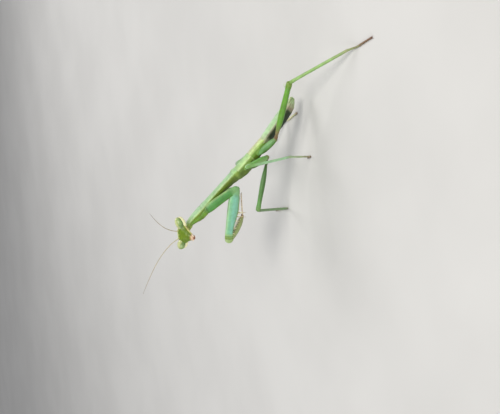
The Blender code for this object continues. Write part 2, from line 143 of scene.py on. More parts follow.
class Shell:
    """Gathers the closed surfaces of one piece, with a map whose first number runs round it from
    the belly over the back (0.5), and whose second runs along it."""

    def __init__(self):
        self.points = []
        self.faces = []
        self.places = []
        self.finishes = []
        self.count = 0

    def grid(self, rings, along, finish):
        """Joins rings of points, and closes both ends."""
        rows, sides = rings.shape[:2]
        start = self.count
        self.points.append(rings.reshape(-1, 3))
        self.count += rows * sides
        for i in range(rows - 1):
            low, high = start + i * sides, start + (i + 1) * sides
            for k in range(sides):
                n = (k + 1) % sides
                self.faces.append((low + k, low + n, high + n, high + k))
                a, b = k / sides, (k + 1) / sides
                self.places += [(a, along[i]), (b, along[i]), (b, along[i + 1]), (a, along[i + 1])]
                self.finishes.append(finish)
        for row, turn in ((0, -1), (rows - 1, 1)):
            order = range(sides)[::turn]
            self.faces.append([start + row * sides + k for k in order])
            self.places += [(k / sides, along[row]) for k in order]
            self.finishes.append(finish)

    def sleeve(
        self, spine, girths, relief=None, sides=40, rings=80, ends=(0.5, 0.5), up=(0, 0, 1), finish=0
    ):
        """A tube along the spine, with rounded ends. A girth is a fraction of the length, and half the
        width, the height above and the depth below there. The relief gives how far the surface
        stands out at f, a fraction of the length, and a, the angle from the back in degrees."""
        cap = np.radians([4, 14, 30, 50, 72])
        back = cap[::-1]
        middle, at = drawn_through(spine, rings)
        length = np.linalg.norm(np.diff(middle, axis=0), axis=1).sum()
        forward = np.gradient(middle, axis=0)
        forward /= np.linalg.norm(forward, axis=1)[:, None]
        size = eased(girths, at)
        near, far = ends[0] * size[0, 1:].mean(), ends[1] * size[-1, 1:].mean()
        front_end = middle[0] - forward[0] * near * np.cos(cap)[:, None]
        rear_end = middle[-1] + forward[-1] * far * np.cos(back)[:, None]
        middle = np.vstack([front_end, middle, rear_end])
        at = np.concatenate([-near * np.cos(cap) / length, at, 1 + far * np.cos(back) / length])
        shrink = np.concatenate([np.sin(cap), np.ones(rings), np.sin(back)])
        both_ends = ((len(cap), len(cap)), (0, 0))
        size, forward = np.pad(size, both_ends, "edge"), np.pad(forward, both_ends, "edge")
        side = np.cross(np.array(up, float), forward)
        side /= np.linalg.norm(side, axis=1)[:, None]
        top = np.cross(forward, side)
        angle = -np.pi + 2 * np.pi * np.arange(sides) / sides
        half, high, low = (size[:, k, None] for k in range(3))
        height = np.where(np.cos(angle) > 0, high, low)
        if relief is not None:
            stand = relief(at[:, None], np.degrees(angle)[None, :])
            half = half + stand
            height = height + stand
        x = half * np.sin(angle) * shrink[:, None]
        z = height * np.cos(angle) * shrink[:, None]
        rings = middle[:, None] + side[:, None] * x[..., None] + top[:, None] * z[..., None]
        self.grid(rings, np.clip(at, 0, 1), finish)

    def dome(self, middle, axes, halves, finish=0, sides=40, rings=30):
        """An egg. The axes are columns, and the last one is the long axis that the map runs along."""
        lift = np.radians(np.linspace(4, 176, rings))[:, None]
        turn = -np.pi + 2 * np.pi * np.arange(sides) / sides
        x = np.sin(lift) * np.cos(turn) * halves[0]
        y = np.sin(lift) * np.sin(turn) * halves[1]
        z = -np.cos(lift) * np.ones(sides) * halves[2]
        points = np.stack((x, y, z), -1) @ np.array(axes, float).T
        self.grid(np.array(middle) + points, lift[:, 0] / np.pi, finish)

    def thorn(self, root, tip, thick, bow=(0, 0, 0), finish=1, sides=8):
        """A sharp spine, bowed sideways by a vector."""
        root, tip, bow = (np.array(p, float) for p in (root, tip, bow))
        spine = (root, (root + tip) / 2 + bow, tip)
        rows = round_rows((0, thick), (0.35, 0.72 * thick), (0.8, 0.30 * thick), (1, 0.08 * thick))
        steep = abs(unit(tip - root)[2]) >= 0.9
        up = (1.0, 0.1, 0.0) if steep else (0.2, 0.1, 1.0)
        self.sleeve(spine, rows, None, sides, 9, (0.2, 0.6), up, finish)

    def make(self, name, materials, slot, *nodes):
        """Turns what was gathered into a piece, in metres, that stands for these solids."""
        mesh = bpy.data.meshes.new(name)
        mesh.from_pydata((np.vstack(self.points) * 0.001).tolist(), [], self.faces)
        skin = mesh.uv_layers.new(name="skin")
        skin.data.foreach_set("uv", np.array(self.places, np.float32).ravel())
        mesh.polygons.foreach_set("material_index", np.array(self.finishes, np.int32))
        for each in materials:
            mesh.materials.append(each)
        mesh.validate()
        tidy = bmesh.new()
        tidy.from_mesh(mesh)
        bmesh.ops.recalc_face_normals(tidy, faces=tidy.faces)
        tidy.to_mesh(mesh)
        tidy.free()
        mesh.shade_smooth()
        piece = placed(name, mesh)
        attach(piece, "root")
        if nodes:
            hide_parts(*nodes)


def pronotum_relief(f, a):
    """In this and the later reliefs, s is the angle from the back on either side."""
    s = np.abs(a)
    keel = 0.06 * peak(s, 62, 7) * (0.55 + 0.45 * peak(f, 0.7, 0.3))
    teeth = 0.02 * peak(s, 62, 5) * np.maximum(0, np.sin(2 * np.pi * f * 34)) * rise(f, 0.05, 0.15)
    gutter = -0.05 * peak(s, 80, 10) - 0.03 * peak(s, 126, 16)
    ridge = 0.03 * peak(s, 0, 7) * stretch(f, 0.10, 0.16, 0.60, 0.69)
    furrow = -0.03 * peak(s, 0, 9) * rise(f, 0.72, 0.78)
    upper = 1 - rise(s, 60, 78)
    crossing = -0.07 * peak(f + 0.012 * np.cos(np.radians(2 * s)), 0.715, 0.013) * upper
    rims = -0.05 * peak(f, 0.093, 0.012) * upper
    knobs = 0.11 * peak(f, 0.048, 0.024) * peak(s, 38, 17) - 0.05 * peak(f, 0.048, 0.03) * peak(s, 0, 9)
    hip_bay = -0.14 * peak(f, 0.69, 0.045) * peak(s, 104, 13)
    belly = 0.03 * np.sin(2 * np.pi * f * 11) * rise(s, 120, 150) * (1 - rise(f, 0.5, 0.62))
    return keel + teeth + gutter + ridge + furrow + crossing + rims + knobs + hip_bay + belly


def add(tree, kind, settings=None, **sockets):
    """Adds a shader node. A socket takes a value or another node's output."""
    made = tree.nodes.new("ShaderNode" + kind)
    for key, value in (settings or {}).items():
        setattr(made, key, value)
    for key, value in sockets.items():
        feed(tree, made.inputs[key.replace("_", " ")], value)
    return made


def feed(tree, socket, value):
    if isinstance(value, bpy.types.NodeSocket):
        tree.links.new(value, socket)
    else:
        socket.default_value = value


def sums(tree, operation, *values):
    made = add(tree, "Math", {"operation": operation})
    for socket, value in zip(made.inputs, values):
        feed(tree, socket, value)
    return made.outputs[0]


def mixed(tree, amount, first, second):
    made = add(tree, "Mix", {"data_type": "RGBA"})
    for k, value in ((0, amount), (6, first), (7, second)):
        feed(tree, made.inputs[k], value)
    return made.outputs[2]


def dye(red, green, blue, alpha=1.0):
    """A colour, given as it is seen, from 0 to 255."""
    seen = [c / 255 for c in (red, green, blue)]
    return (*[c / 12.92 if c <= 0.04045 else ((c + 0.055) / 1.055) ** 2.4 for c in seen], alpha)


def bands(tree, value, stops):
    """A soft colour ramp. Each stop is a place and a colour as dye takes it."""
    made = add(tree, "ValToRGB", None, Fac=value)
    ramp = made.color_ramp
    ramp.interpolation = "EASE"
    while len(ramp.elements) < len(stops):
        ramp.elements.new(0.5)
    for element, (place, *colour) in zip(ramp.elements, stops):
        element.position = place
        element.color = dye(*colour)
    return made


def covered(tree, colour, value, stops):
    """Lays a colour ramp over a colour, where the alpha of its stops says so."""
    ramp = bands(tree, value, stops)
    return mixed(tree, ramp.outputs["Alpha"], colour, ramp.outputs["Color"])


def new_material(name):
    """A material, with its node tree and its shader."""
    made = bpy.data.materials.new(name)
    made.use_nodes = True
    return made, made.node_tree, made.node_tree.nodes["Principled BSDF"]


def spread(tree, value, low, high, start=0.3, stop=0.7):
    """Stretches a value that runs from start to stop so that it runs from low to high."""
    made = add(tree, "MapRange", None, Value=value, From_Min=start, From_Max=stop, To_Min=low, To_Max=high)
    return made.outputs[0]


def make_grain():
    """Shared by every horny surface: fine granules and wrinkles, and a slow change of tone."""
    group = bpy.data.node_groups.new("horn_grain", "ShaderNodeTree")
    group.interface.new_socket(name="Fineness", in_out="INPUT", socket_type="NodeSocketFloat")
    for name in ("Mottle", "Freckle", "Height"):
        group.interface.new_socket(name=name, in_out="OUTPUT", socket_type="NodeSocketFloat")
    start = group.nodes.new("NodeGroupInput")
    end = group.nodes.new("NodeGroupOutput")
    place = add(group, "TexCoord").outputs["Object"]
    fine = start.outputs["Fineness"]
    granules = add(group, "TexVoronoi", {"feature": "SMOOTH_F1"}, Vector=place, Scale=fine, Smoothness=0.6)
    coarse = sums(group, "MULTIPLY", fine, 0.45)
    wrinkles = add(group, "TexNoise", None, Vector=place, Scale=coarse, Detail=3.0, Distortion=0.6)
    tone = add(group, "TexNoise", None, Vector=place, Scale=900.0, Detail=4.0, Roughness=0.6)
    freckle = add(group, "TexNoise", None, Vector=place, Scale=3600.0, Detail=2.0)
    domes = sums(group, "SUBTRACT", 1.0, granules.outputs["Distance"])
    height = sums(group, "ADD", sums(group, "MULTIPLY", domes, 0.6), wrinkles.outputs["Fac"])
    group.links.new(tone.outputs["Fac"], end.inputs["Mottle"])
    group.links.new(freckle.outputs["Fac"], end.inputs["Freckle"])
    group.links.new(height, end.inputs["Height"])
    return group


grain = make_grain()


GRAIN_HEIGHT = 0.00002
GLOW = 0.12
GLOW_DEPTH = 0.0003


def horn(name, across, along=(), rough=0.42, fine=7000.0, depth=0.5, tone=0.22, coat=0.12):
    """Insect skin. The bands across run from the middle of the back (0) to the middle of the belly
    (1), the bands along cover them where their alpha says so, and the grain breaks both up. Fine
    and depth set the grain, tone how much the colour changes, and coat the wax on top."""
    made, tree, shader = new_material(name)
    place = add(tree, "SeparateXYZ", None, Vector=add(tree, "UVMap", {"uv_map": "skin"}).outputs[0])
    skin = add(tree, "Group", {"node_tree": grain}, Fineness=fine)
    wander = sums(tree, "MULTIPLY_ADD", skin.outputs["Freckle"], 0.10, -0.05)
    off_back = sums(tree, "ABSOLUTE", sums(tree, "MULTIPLY_ADD", place.outputs[0], 2.0, -1.0))
    colour = bands(tree, sums(tree, "ADD", off_back, wander), across).outputs["Color"]
    if along:
        colour = covered(tree, colour, sums(tree, "MULTIPLY_ADD", wander, 0.2, place.outputs[1]), along)
    hue = spread(tree, skin.outputs["Freckle"], 0.485, 0.512)
    value = spread(tree, skin.outputs["Mottle"], 1 - tone, 1 + tone)
    gloss = spread(tree, skin.outputs["Mottle"], rough - 0.07, rough + 0.1)
    colour = add(tree, "HueSaturation", None, Hue=hue, Value=value, Color=colour).outputs["Color"]
    bump = add(tree, "Bump", None, Strength=depth, Distance=GRAIN_HEIGHT, Height=skin.outputs["Height"])
    feed(tree, shader.inputs["Base Color"], colour)
    feed(tree, shader.inputs["Roughness"], gloss)
    feed(tree, shader.inputs["Normal"], bump.outputs[0])
    shader.inputs["Coat Weight"].default_value = coat
    shader.inputs["Coat Roughness"].default_value = 0.25
    shader.inputs["Subsurface Weight"].default_value = GLOW
    shader.inputs["Subsurface Radius"].default_value = (0.5, 1.0, 0.3)
    shader.inputs["Subsurface Scale"].default_value = GLOW_DEPTH
    return made


# The pronotum's colours. The pale mint back is partly the shield's own colour and partly a painted
# highlight, the sky's pale reflection. The dark olive sides and belly are painted shade, as from a light
# above.
shield_skin_and_painted_light = horn(
    "shield_skin_and_painted_light",
    (
        (0, 168, 204, 158), (0.18, 164, 202, 150), (0.28, 180, 212, 152), (0.33, 162, 190, 116),
        (0.38, 132, 156, 68), (0.46, 112, 134, 42), (0.62, 94, 116, 24), (0.80, 86, 110, 18),
        (1, 100, 120, 34),
    ),
    (
        (0, 150, 190, 96, 0.12), (0.05, 168, 206, 100, 0.30), (0.088, 92, 126, 34, 0.30),
        # The pale front end beside the head is painted light, which lifts the shadow that the head casts
        # there.
        (0.105, 140, 186, 112, 0), (0.86, 110, 150, 50, 0), (1, 184, 212, 146, 0.6),
    ),
    rough=0.46, coat=0.04,
)
shield = Shell()
shield.sleeve(
    (between(WAIST, PRONOTUM_FRONT, -0.02), PRONOTUM_FRONT),
    PRONOTUM_GIRTHS,
    pronotum_relief,
    sides=72, rings=190, ends=(0.12, 0.30),
)
shield.make("pronotum_shield", [shield_skin_and_painted_light], "thorax", "pronotum")


# NECK
# The soft wrinkled membrane that joins the shield to the back of the head. It is tucked into
# both, and stretches when the head turns.
NAPE = np.array((13.797, -4.028, 23.479))
NECK_TUCK = 0.45
# The neck is painted paler than its own green, and palest towards the head over its own tan there. This is
# painted light that lifts the shadow the head casts on it.
neck_skin_and_painted_light = horn(
    "neck_skin_and_painted_light",
    (
        (0, 176, 214, 148), (0.20, 176, 208, 126), (0.36, 170, 196, 96), (0.60, 152, 178, 70),
        (1, 130, 156, 60),
    ),
    (
        (0, 120, 160, 70, 0), (0.45, 196, 200, 116, 0.2), (0.80, 220, 208, 136, 0.8),
        (1, 224, 208, 140, 0.9),
    ),
    rough=0.5, tone=0.3, coat=0.03,
)
collar = Shell()
throat = PRONOTUM_FRONT - NECK_TUCK * unit(np.subtract(PRONOTUM_FRONT, WAIST))
collar.sleeve(
    (throat, (throat + NAPE) / 2 + (0.04, 0.02, 0.06), NAPE + (0.02, 0.06, 0.34)),
    ((0, 0.68, 0.62, 0.68), (0.4, 0.72, 0.60, 0.70), (0.75, 0.72, 0.56, 0.66), (1, 0.60, 0.46, 0.52)),
    lambda f, a: 0.02 * np.sin(2 * np.pi * f * 4),
    sides=36, rings=70, ends=(0.2, 0.5),
)
collar.make("neck_membrane", [neck_skin_and_painted_light], "thorax", "neck")


# MIDDLE AND REAR THORAX
# Two short horny rings that carry the walking legs. Each has a back plate with a free rear lip
# and a keel along its edge, sloping side plates parted by seams, and a softer belly.
THORAX_REAR = (-2.204, -4.55, 8.359)
THORAX_GIRTHS = (
    (0.00, 0.93, 0.78, 1.88), (0.20, 0.92, 0.75, 2.10), (0.45, 0.87, 0.79, 1.98),
    (0.75, 0.90, 0.87, 1.56), (1.00, 0.85, 0.87, 1.30),
)


def ring_relief(f, a):
    s = np.abs(a)
    upper = 1 - rise(s, 66, 80)
    keel = 0.06 * peak(s, 66, 9) - 0.06 * peak(s, 84, 9)
    lip = 0.03 * rise(f, 0.55, 0.94) * upper - 0.03 * peak(f, 0.12, 0.05) * upper
    ridge = 0.03 * peak(s, 0, 6) - 0.03 * peak(s - 40 * f, 14, 5) * upper
    seams = -0.055 * peak(s - 34 * (f - 0.5), 122, 4) - 0.03 * peak(f, 0.5, 0.03) * rise(s, 100, 115)
    return keel + lip + ridge + seams


# The pale mint back and its pale stripe are the ring's own colours. The dark olive sides and belly are
# painted shade, as from a light above.
meso_skin_and_painted_shade = horn(
    "meso_skin_and_painted_shade",
    (
        (0, 164, 200, 140), (0.16, 176, 212, 146), (0.27, 190, 222, 150), (0.36, 206, 230, 160),
        (0.42, 168, 198, 118), (0.50, 122, 154, 66), (0.60, 92, 118, 28), (1, 84, 106, 24),
    ),
    (
        (0, 96, 130, 64, 0.5), (0.10, 150, 190, 120, 0), (0.9, 170, 196, 130, 0),
        (1, 188, 200, 140, 0.4),
    ),
    rough=0.46, coat=0.04,
)
# Here too the dark olive sides and belly are painted shade.
meta_skin_and_painted_shade = horn(
    "meta_skin_and_painted_shade",
    (
        (0, 206, 200, 170), (0.06, 200, 210, 158), (0.14, 206, 226, 158), (0.22, 214, 238, 162),
        (0.29, 178, 206, 116), (0.40, 146, 182, 92), (0.50, 120, 156, 62), (0.58, 92, 114, 24),
        (1, 76, 94, 22),
    ),
    (
        (0, 110, 140, 70, 0.5), (0.10, 150, 190, 120, 0), (0.9, 190, 190, 150, 0),
        (1, 198, 186, 150, 0.4),
    ),
    rough=0.46, coat=0.04,
)
# Where each ring begins and ends between waist and rear, how far its front is drawn in to slip
# under the plate before it, how round its ends are, and its skin.
RINGS = {
    "mesothorax": (-0.05, 0.52, 0.09, (0.05, 0.12), meso_skin_and_painted_shade),
    "metathorax": (0.49, 1.03, 0.04, (0.05, 0.10), meta_skin_and_painted_shade),
}
for name, (low, high, neck_in, ends, skin) in RINGS.items():
    rows = []
    for f in np.linspace(0, 1, 9):
        girth = eased(THORAX_GIRTHS, np.array([low + (high - low) * f]))[0]
        rows.append((f, *(girth * (1 - neck_in * max(0, 1 - f / 0.2)))))
    ring = Shell()
    ring.sleeve(
        (between(WAIST, THORAX_REAR, low), between(WAIST, THORAX_REAR, high)),
        rows,
        ring_relief,
        sides=72, rings=90, ends=ends,
    )
    ring.make(name + "_ring", [skin], "thorax", name)


# ABDOMEN
# Ten soft-jointed horny rings. Each back plate and each belly plate laps over the next, with a
# pale fold of membrane between back and belly down each side. A small roof plate over the
# vent ends it.
ABDOMEN_LENGTH = 9.8
ABDOMEN_PITCH = (37.0, 32.0)
ABDOMEN_STEPS = 24
ABDOMEN_RINGS = 9.6
ABDOMEN_GIRTHS = (
    (0.00, 0.84, 0.87, 1.22), (0.30, 0.95, 0.91, 1.38), (0.58, 1.03, 0.89, 1.52),
    (0.82, 0.79, 0.62, 1.48), (0.94, 0.58, 0.45, 1.02), (1.00, 0.46, 0.36, 0.56),
)


def sloping(pitch):
    """The way back and down at this pitch."""
    return np.array((-math.cos(math.radians(pitch)), 0, -math.sin(math.radians(pitch))))


abdomen_line = [THORAX_REAR - 0.25 * np.array((-0.80, 0, -0.60))]
for k in range(ABDOMEN_STEPS):
    first, last = ABDOMEN_PITCH
    pitch = first + (last - first) * ((k + 0.5) / ABDOMEN_STEPS) ** 1.6
    step = ABDOMEN_LENGTH / ABDOMEN_STEPS * (1.08 if k == 0 else 1.0)
    abdomen_line.append(abdomen_line[-1] + step * sloping(pitch))


def abdomen_relief(f, a):
    s = np.abs(a)
    ring = (f * ABDOMEN_RINGS + 0.35) % 1.0
    lap = np.where(ring < 0.90, rise(ring, 0.0, 0.9), 1 - rise(ring, 0.90, 1.0))
    plate = 1 - rise(s, 78, 88)
    below = rise(s, 106, 116)
    back = (0.040 * lap - 0.015) * plate + 0.02 * peak(s, 0, 5) * lap
    belly = (0.05 * lap - 0.02) * below
    fold = -0.06 * peak(s, 96, 8) + 0.06 * peak(s, 77, 8)
    spiracle = -0.04 * peak(ring, 0.45, 0.07) * peak(s, 92, 3)
    return (back + belly + fold + spiracle) * (1 - 0.5 * rise(f, 0.9, 1.0))


# The pale mint back is the abdomen's own colour. The sides and belly are painted near black-green, which is
# painted shade as from a light above.
abdomen_skin_and_painted_shade = horn(
    "abdomen_skin_and_painted_shade",
    (
        (0, 186, 218, 172), (0.22, 178, 212, 158), (0.30, 184, 208, 158), (0.35, 152, 154, 124),
        (0.40, 112, 114, 84), (0.45, 58, 70, 34), (0.60, 30, 48, 18), (0.85, 28, 48, 18),
        (1, 50, 68, 32),
    ),
    (
        (0, 206, 206, 160, 0.75), (0.07, 200, 206, 164, 0.45), (0.17, 180, 200, 140, 0),
        (0.74, 150, 190, 120, 0), (0.80, 196, 176, 148, 0.5), (0.87, 176, 182, 142, 0.8),
        (0.94, 176, 196, 148, 0.9), (1, 150, 176, 116, 0.9),
    ),
    rough=0.52, coat=0.02,
)
rump = Shell()
rump.sleeve(abdomen_line, ABDOMEN_GIRTHS, abdomen_relief, sides=72, rings=260, ends=(0.15, 0.5))
# The small roof plate over the vent.
tail = abdomen_line[-1]
back = sloping(ABDOMEN_PITCH[1])
above = np.array((back[2], 0, -back[0]))
rump.sleeve(
    (tail - 0.45 * back + 0.24 * above, tail + 0.28 * back + 0.16 * above),
    ((0, 0.40, 0.12, 0.10), (0.5, 0.34, 0.13, 0.10), (1, 0.12, 0.06, 0.05)),
    sides=24, rings=20,
)
rump.make("abdomen_rings", [abdomen_skin_and_painted_shade], "abdomen", "abdomen")


# CERCI
# The pair of short tapering feelers at the tail, of seven horny beads each, set in sockets
# below the roof plate.
CERCUS_LENGTH = 1.12
CERCUS_BEADS = 7
CERCUS_SPLAY = 14
cercus_skin = horn(
    "cercus_skin",
    ((0, 184, 200, 150), (1, 150, 164, 104)),
    ((0, 170, 180, 120, 0), (0.7, 170, 180, 120, 0.1), (1, 150, 160, 104, 0.8)),
)


def beads(f, count, depth, sharp=10):
    """Narrow waists between the beads of a jointed thread."""
    return -depth * np.abs(np.cos(np.pi * f * count)) ** sharp


for name, sign in (("cercus_left", 1), ("cercus_right", -1)):
    low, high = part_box(name)
    middle = np.array(low + high) * 500
    turn = math.radians(180 - sign * CERCUS_SPLAY)
    along = np.array((math.cos(turn), math.sin(turn), -0.14))
    root = middle - along * 0.55
    bead = Shell()
    bead.sleeve(
        (root, middle + (0, 0, 0.03), root + along * CERCUS_LENGTH),
        ((0, 0.15, 0.15, 0.15), (0.3, 0.19, 0.18, 0.18), (0.8, 0.12, 0.12, 0.12), (1, 0.05, 0.05, 0.05)),
        lambda f, a: beads(f, CERCUS_BEADS, 0.02, 6),
        sides=20, rings=70, ends=(0.4, 0.8),
    )
    bead.make(name + "_beads", [cercus_skin], "antenna", name)


# HEAD
# A hard three-cornered box, widest across the eyes and narrowing to the mouth, cast in one
# piece. Ridges and seams mark off the frontal plate, the cheeks and the lip shield.
HEAD_CENTRE = (13.90, -3.76, 24.55)
HEAD_TURN = (80.7, 62.6, 13.6)
HEAD_DEPTH = 2.95
CROWN = 0.50
CHIN_SHIFT = -0.28
CAPSULE_GIRTHS = (
    (0.00, 1.20, 0.30, 0.45), (0.06, 1.72, 0.42, 0.66), (0.13, 2.06, 0.56, 0.86),
    (0.28, 2.20, 0.72, 0.98), (0.45, 1.78, 0.76, 0.92), (0.70, 1.06, 0.70, 0.74),
    (0.88, 0.70, 0.58, 0.54), (1.00, 0.54, 0.48, 0.42),
)
yaw, lift, roll = (math.radians(a) for a in HEAD_TURN)
HEAD_AXES = np.array(
    Matrix.Rotation(yaw, 3, "Z") @ Matrix.Rotation(-lift, 3, "Y") @ Matrix.Rotation(roll, 3, "X")
)
face_out = HEAD_AXES[:, 0]


def in_head(x, y, z):
    """A place given as out of the face, to the head's left, and towards the crown."""
    return HEAD_CENTRE + HEAD_AXES @ (x, y, z)


def head_relief(f, a):
    s = np.abs(a)
    face = 1 - rise(s, 62, 84)
    brow = 0.07 * peak(f, 0.20, 0.05) * peak(s, 58, 20)
    vertex = -0.035 * peak(s, 30, 5) * (1 - rise(f, 0.16, 0.24))
    vertex -= 0.03 * peak(s, 62, 5) * (1 - rise(f, 0.1, 0.2))
    sockets = -0.10 * peak(f, 0.245, 0.035) * peak(s, 46, 11)
    sockets += 0.05 * peak(f, 0.245, 0.075) * peak(s, 46, 23)
    plate = 0.05 * stretch(f, 0.34, 0.38, 0.52, 0.55) * (1 - rise(s, 36, 42))
    plate_rim = 0.035 * (peak(f, 0.365, 0.014) + peak(f, 0.535, 0.014)) * (1 - rise(s, 38, 44))
    cheek_seam = -0.05 * peak(s - 30 * (f - 0.5), 48, 3.5) * rise(f, 0.40, 0.46)
    cross_seams = -0.05 * (peak(f, 0.60, 0.010) + peak(f, 0.76, 0.010)) * face
    shield_swell = 0.05 * peak(f, 0.68, 0.05) * peak(s, 0, 34)
    keel = 0.03 * peak(s, 0, 5) * stretch(f, 0.36, 0.42, 0.56, 0.60)
    rim = 0.06 * peak(s, 104, 7) * rise(f, 0.10, 0.2) - 0.05 * peak(s, 118, 6) * rise(f, 0.1, 0.2)
    lumps = 0.009 * np.sin(f * 43 + 2.6 * np.sin(a / 11.0 + f * 5)) * np.cos(a / 8.3 + f * 23) * face
    seams = vertex + cheek_seam + cross_seams
    return brow + sockets + plate + plate_rim + shield_swell + keel + rim + seams + lumps


head_skin = horn(
    "head_skin",
    (
        (0, 106, 132, 6), (0.36, 98, 126, 4), (0.44, 130, 150, 36), (0.50, 222, 216, 142),
        (0.64, 212, 206, 130), (0.74, 166, 178, 84), (1, 140, 162, 62),
    ),
    (
        (0, 210, 214, 150, 0.9), (0.06, 200, 208, 136, 0.8), (0.11, 160, 176, 84, 0.45),
        (0.17, 116, 144, 26, 0.2), (0.30, 104, 134, 14, 0), (0.88, 160, 140, 80, 0),
        (0.95, 200, 160, 112, 0.7), (1, 190, 140, 100, 0.9),
    ),
    rough=0.4, fine=9000.0, depth=0.7, tone=0.28, coat=0.08,
)
skull = Shell()
skull.sleeve(
    (in_head(0, 0, CROWN), in_head(0, CHIN_SHIFT, -HEAD_DEPTH)),
    CAPSULE_GIRTHS,
    head_relief,
    sides=120, rings=150, ends=(0.7, 0.3), up=face_out,
)
skull.make("head_capsule", [head_skin], "head", "head")


# EYES
# Large glossy domes of clear horn with many facets, at the upper corners of the head. They
# are drawn out to a blunt point at the top, lean outwards, and sit in pale collars.
EYE_SPREAD = 2.03
EYE_TILT = 60.0
EYE_HALVES = (0.66, 0.80, 1.20)
COLLAR_HALVES = (0.56, 0.86, 1.28)


def build_eye_colours_and_painted_light():
    made, tree, shader = new_material("eye_glass_and_painted_light")
    around, along = add(
        tree, "SeparateXYZ", None, Vector=add(tree, "UVMap", {"uv_map": "skin"}).outputs[0]
    ).outputs[:2]
    spot = add(tree, "TexCoord").outputs["Object"]
    facets = add(tree, "TexVoronoi", {"feature": "DISTANCE_TO_EDGE"}, Vector=spot, Scale=24000.0)
    cloud = add(tree, "TexNoise", None, Vector=spot, Scale=1500.0, Detail=3.0)
    shift = sums(tree, "MULTIPLY_ADD", cloud.outputs["Fac"], 0.16, -0.08)
    off = sums(tree, "ABSOLUTE", sums(tree, "MULTIPLY_ADD", around, 2.0, -1.0))
    colour = bands(
        tree,
        sums(tree, "ADD", off, shift),
        ((0, 116, 152, 74), (0.35, 138, 172, 96), (0.70, 150, 176, 104), (1, 166, 186, 116)),
    ).outputs["Color"]
    # Darker towards the lower end, which is painted shade, and paler towards the top, which is partly the
    # eye's own pale rim and partly a painted sheen.
    colour = covered(
        tree,
        colour,
        along,
        (
            (0, 64, 92, 34, 0.8), (0.36, 78, 112, 42, 0.6), (0.54, 150, 190, 120, 0),
            (0.66, 176, 196, 124, 0), (0.82, 206, 212, 146, 0.6), (1, 222, 224, 160, 0.9),
        ),
    )
    # A pale rim towards the crown, partly the eye's own pale band and partly a painted highlight, and a
    # dark rim towards the mouth, which is painted shade.
    colour = covered(
        tree,
        colour,
        around,
        (
            (0, 222, 224, 160, 0.6), (0.10, 222, 224, 160, 0.85), (0.30, 222, 224, 160, 0.8),
            (0.42, 200, 210, 140, 0), (0.58, 110, 150, 70, 0), (0.64, 70, 100, 28, 0.6),
            (0.74, 74, 104, 32, 0.5), (0.84, 110, 150, 70, 0), (0.91, 190, 206, 130, 0),
            (1, 222, 224, 160, 0.6),
        ),
    )
    lens = spread(tree, facets.outputs["Distance"], 0.0, 1.0, 0.0, 0.12)
    colour = mixed(tree, sums(tree, "MULTIPLY_ADD", lens, -0.18, 0.18), colour, dye(70, 96, 44))
    bump = add(tree, "Bump", None, Strength=0.25, Distance=0.000006, Height=lens)
    feed(tree, shader.inputs["Base Color"], colour)
    feed(tree, shader.inputs["Roughness"], sums(tree, "MULTIPLY_ADD", cloud.outputs["Fac"], 0.14, 0.26))
    feed(tree, shader.inputs["Normal"], bump.outputs[0])
    shader.inputs["Coat Weight"].default_value = 0.45
    shader.inputs["Coat Roughness"].default_value = 0.20
    shader.inputs["Subsurface Weight"].default_value = 0.15
    shader.inputs["Subsurface Scale"].default_value = 0.0002
    return made


eye_glass_and_painted_light = build_eye_colours_and_painted_light()
collar_skin = horn(
    "collar_skin",
    (
        (0, 128, 156, 66), (0.22, 146, 170, 84), (0.34, 236, 232, 170), (0.50, 250, 248, 196),
        (1, 232, 230, 168),
    ),
    (
        (0, 206, 206, 130, 0.8), (0.25, 226, 224, 166, 0), (0.85, 226, 224, 166, 0),
        (1, 206, 216, 140, 0.6),
    ),
    rough=0.4, fine=9000.0, tone=0.10,
)
tilt = math.radians(EYE_TILT)
for name, sign in (("eye_left", 1), ("eye_right", -1)):
    lean = np.array((0.0, sign * math.sin(tilt), math.cos(tilt)))
    beside = np.array((0.0, sign * math.cos(tilt), -math.sin(tilt)))
    axes = HEAD_AXES @ np.stack(((-1.0, 0.0, 0.0), beside, lean), 1)
    ball = Shell()
    ball.dome(in_head(0.26, sign * EYE_SPREAD, -0.15), axes, EYE_HALVES, 0, 64, 56)
    # The pale collar behind it.
    behind = in_head(-0.26, sign * (EYE_SPREAD - 0.08), -0.28)
    ball.dome(behind, axes, COLLAR_HALVES, 1, 48, 40)
    ball.make(name + "_dome", [eye_glass_and_painted_light, collar_skin], "eye", name)


# MOUTHPARTS
# The hinged upper lip, the pair of jaws behind it, the lower lip, and two pairs of jointed
# palps. All are small horny pieces that hang from the open lower end of the head.
lip_skin = horn(
    "lip_skin",
    ((0, 228, 200, 164), (0.4, 222, 190, 156), (0.7, 196, 154, 120), (1, 156, 108, 76)),
    (
        (0, 222, 206, 150, 0.6), (0.5, 214, 180, 146, 0), (0.75, 180, 120, 80, 0.4),
        (1, 140, 76, 36, 0.85),
    ),
    rough=0.35, fine=12000.0,
)
palp_skin = horn(
    "palp_skin",
    ((0, 240, 224, 204), (1, 228, 206, 186)),
    ((0, 190, 184, 120, 0.2), (0.8, 232, 212, 192, 0.1), (1, 238, 214, 202, 0.8)),
)
JAW_SHIFT = (-0.26, -0.13)


def in_jaw(x, y, z):
    """The jaws hang a little to the right of the middle of the face, and below it."""
    return in_head(x, y + JAW_SHIFT[0], z + JAW_SHIFT[1])


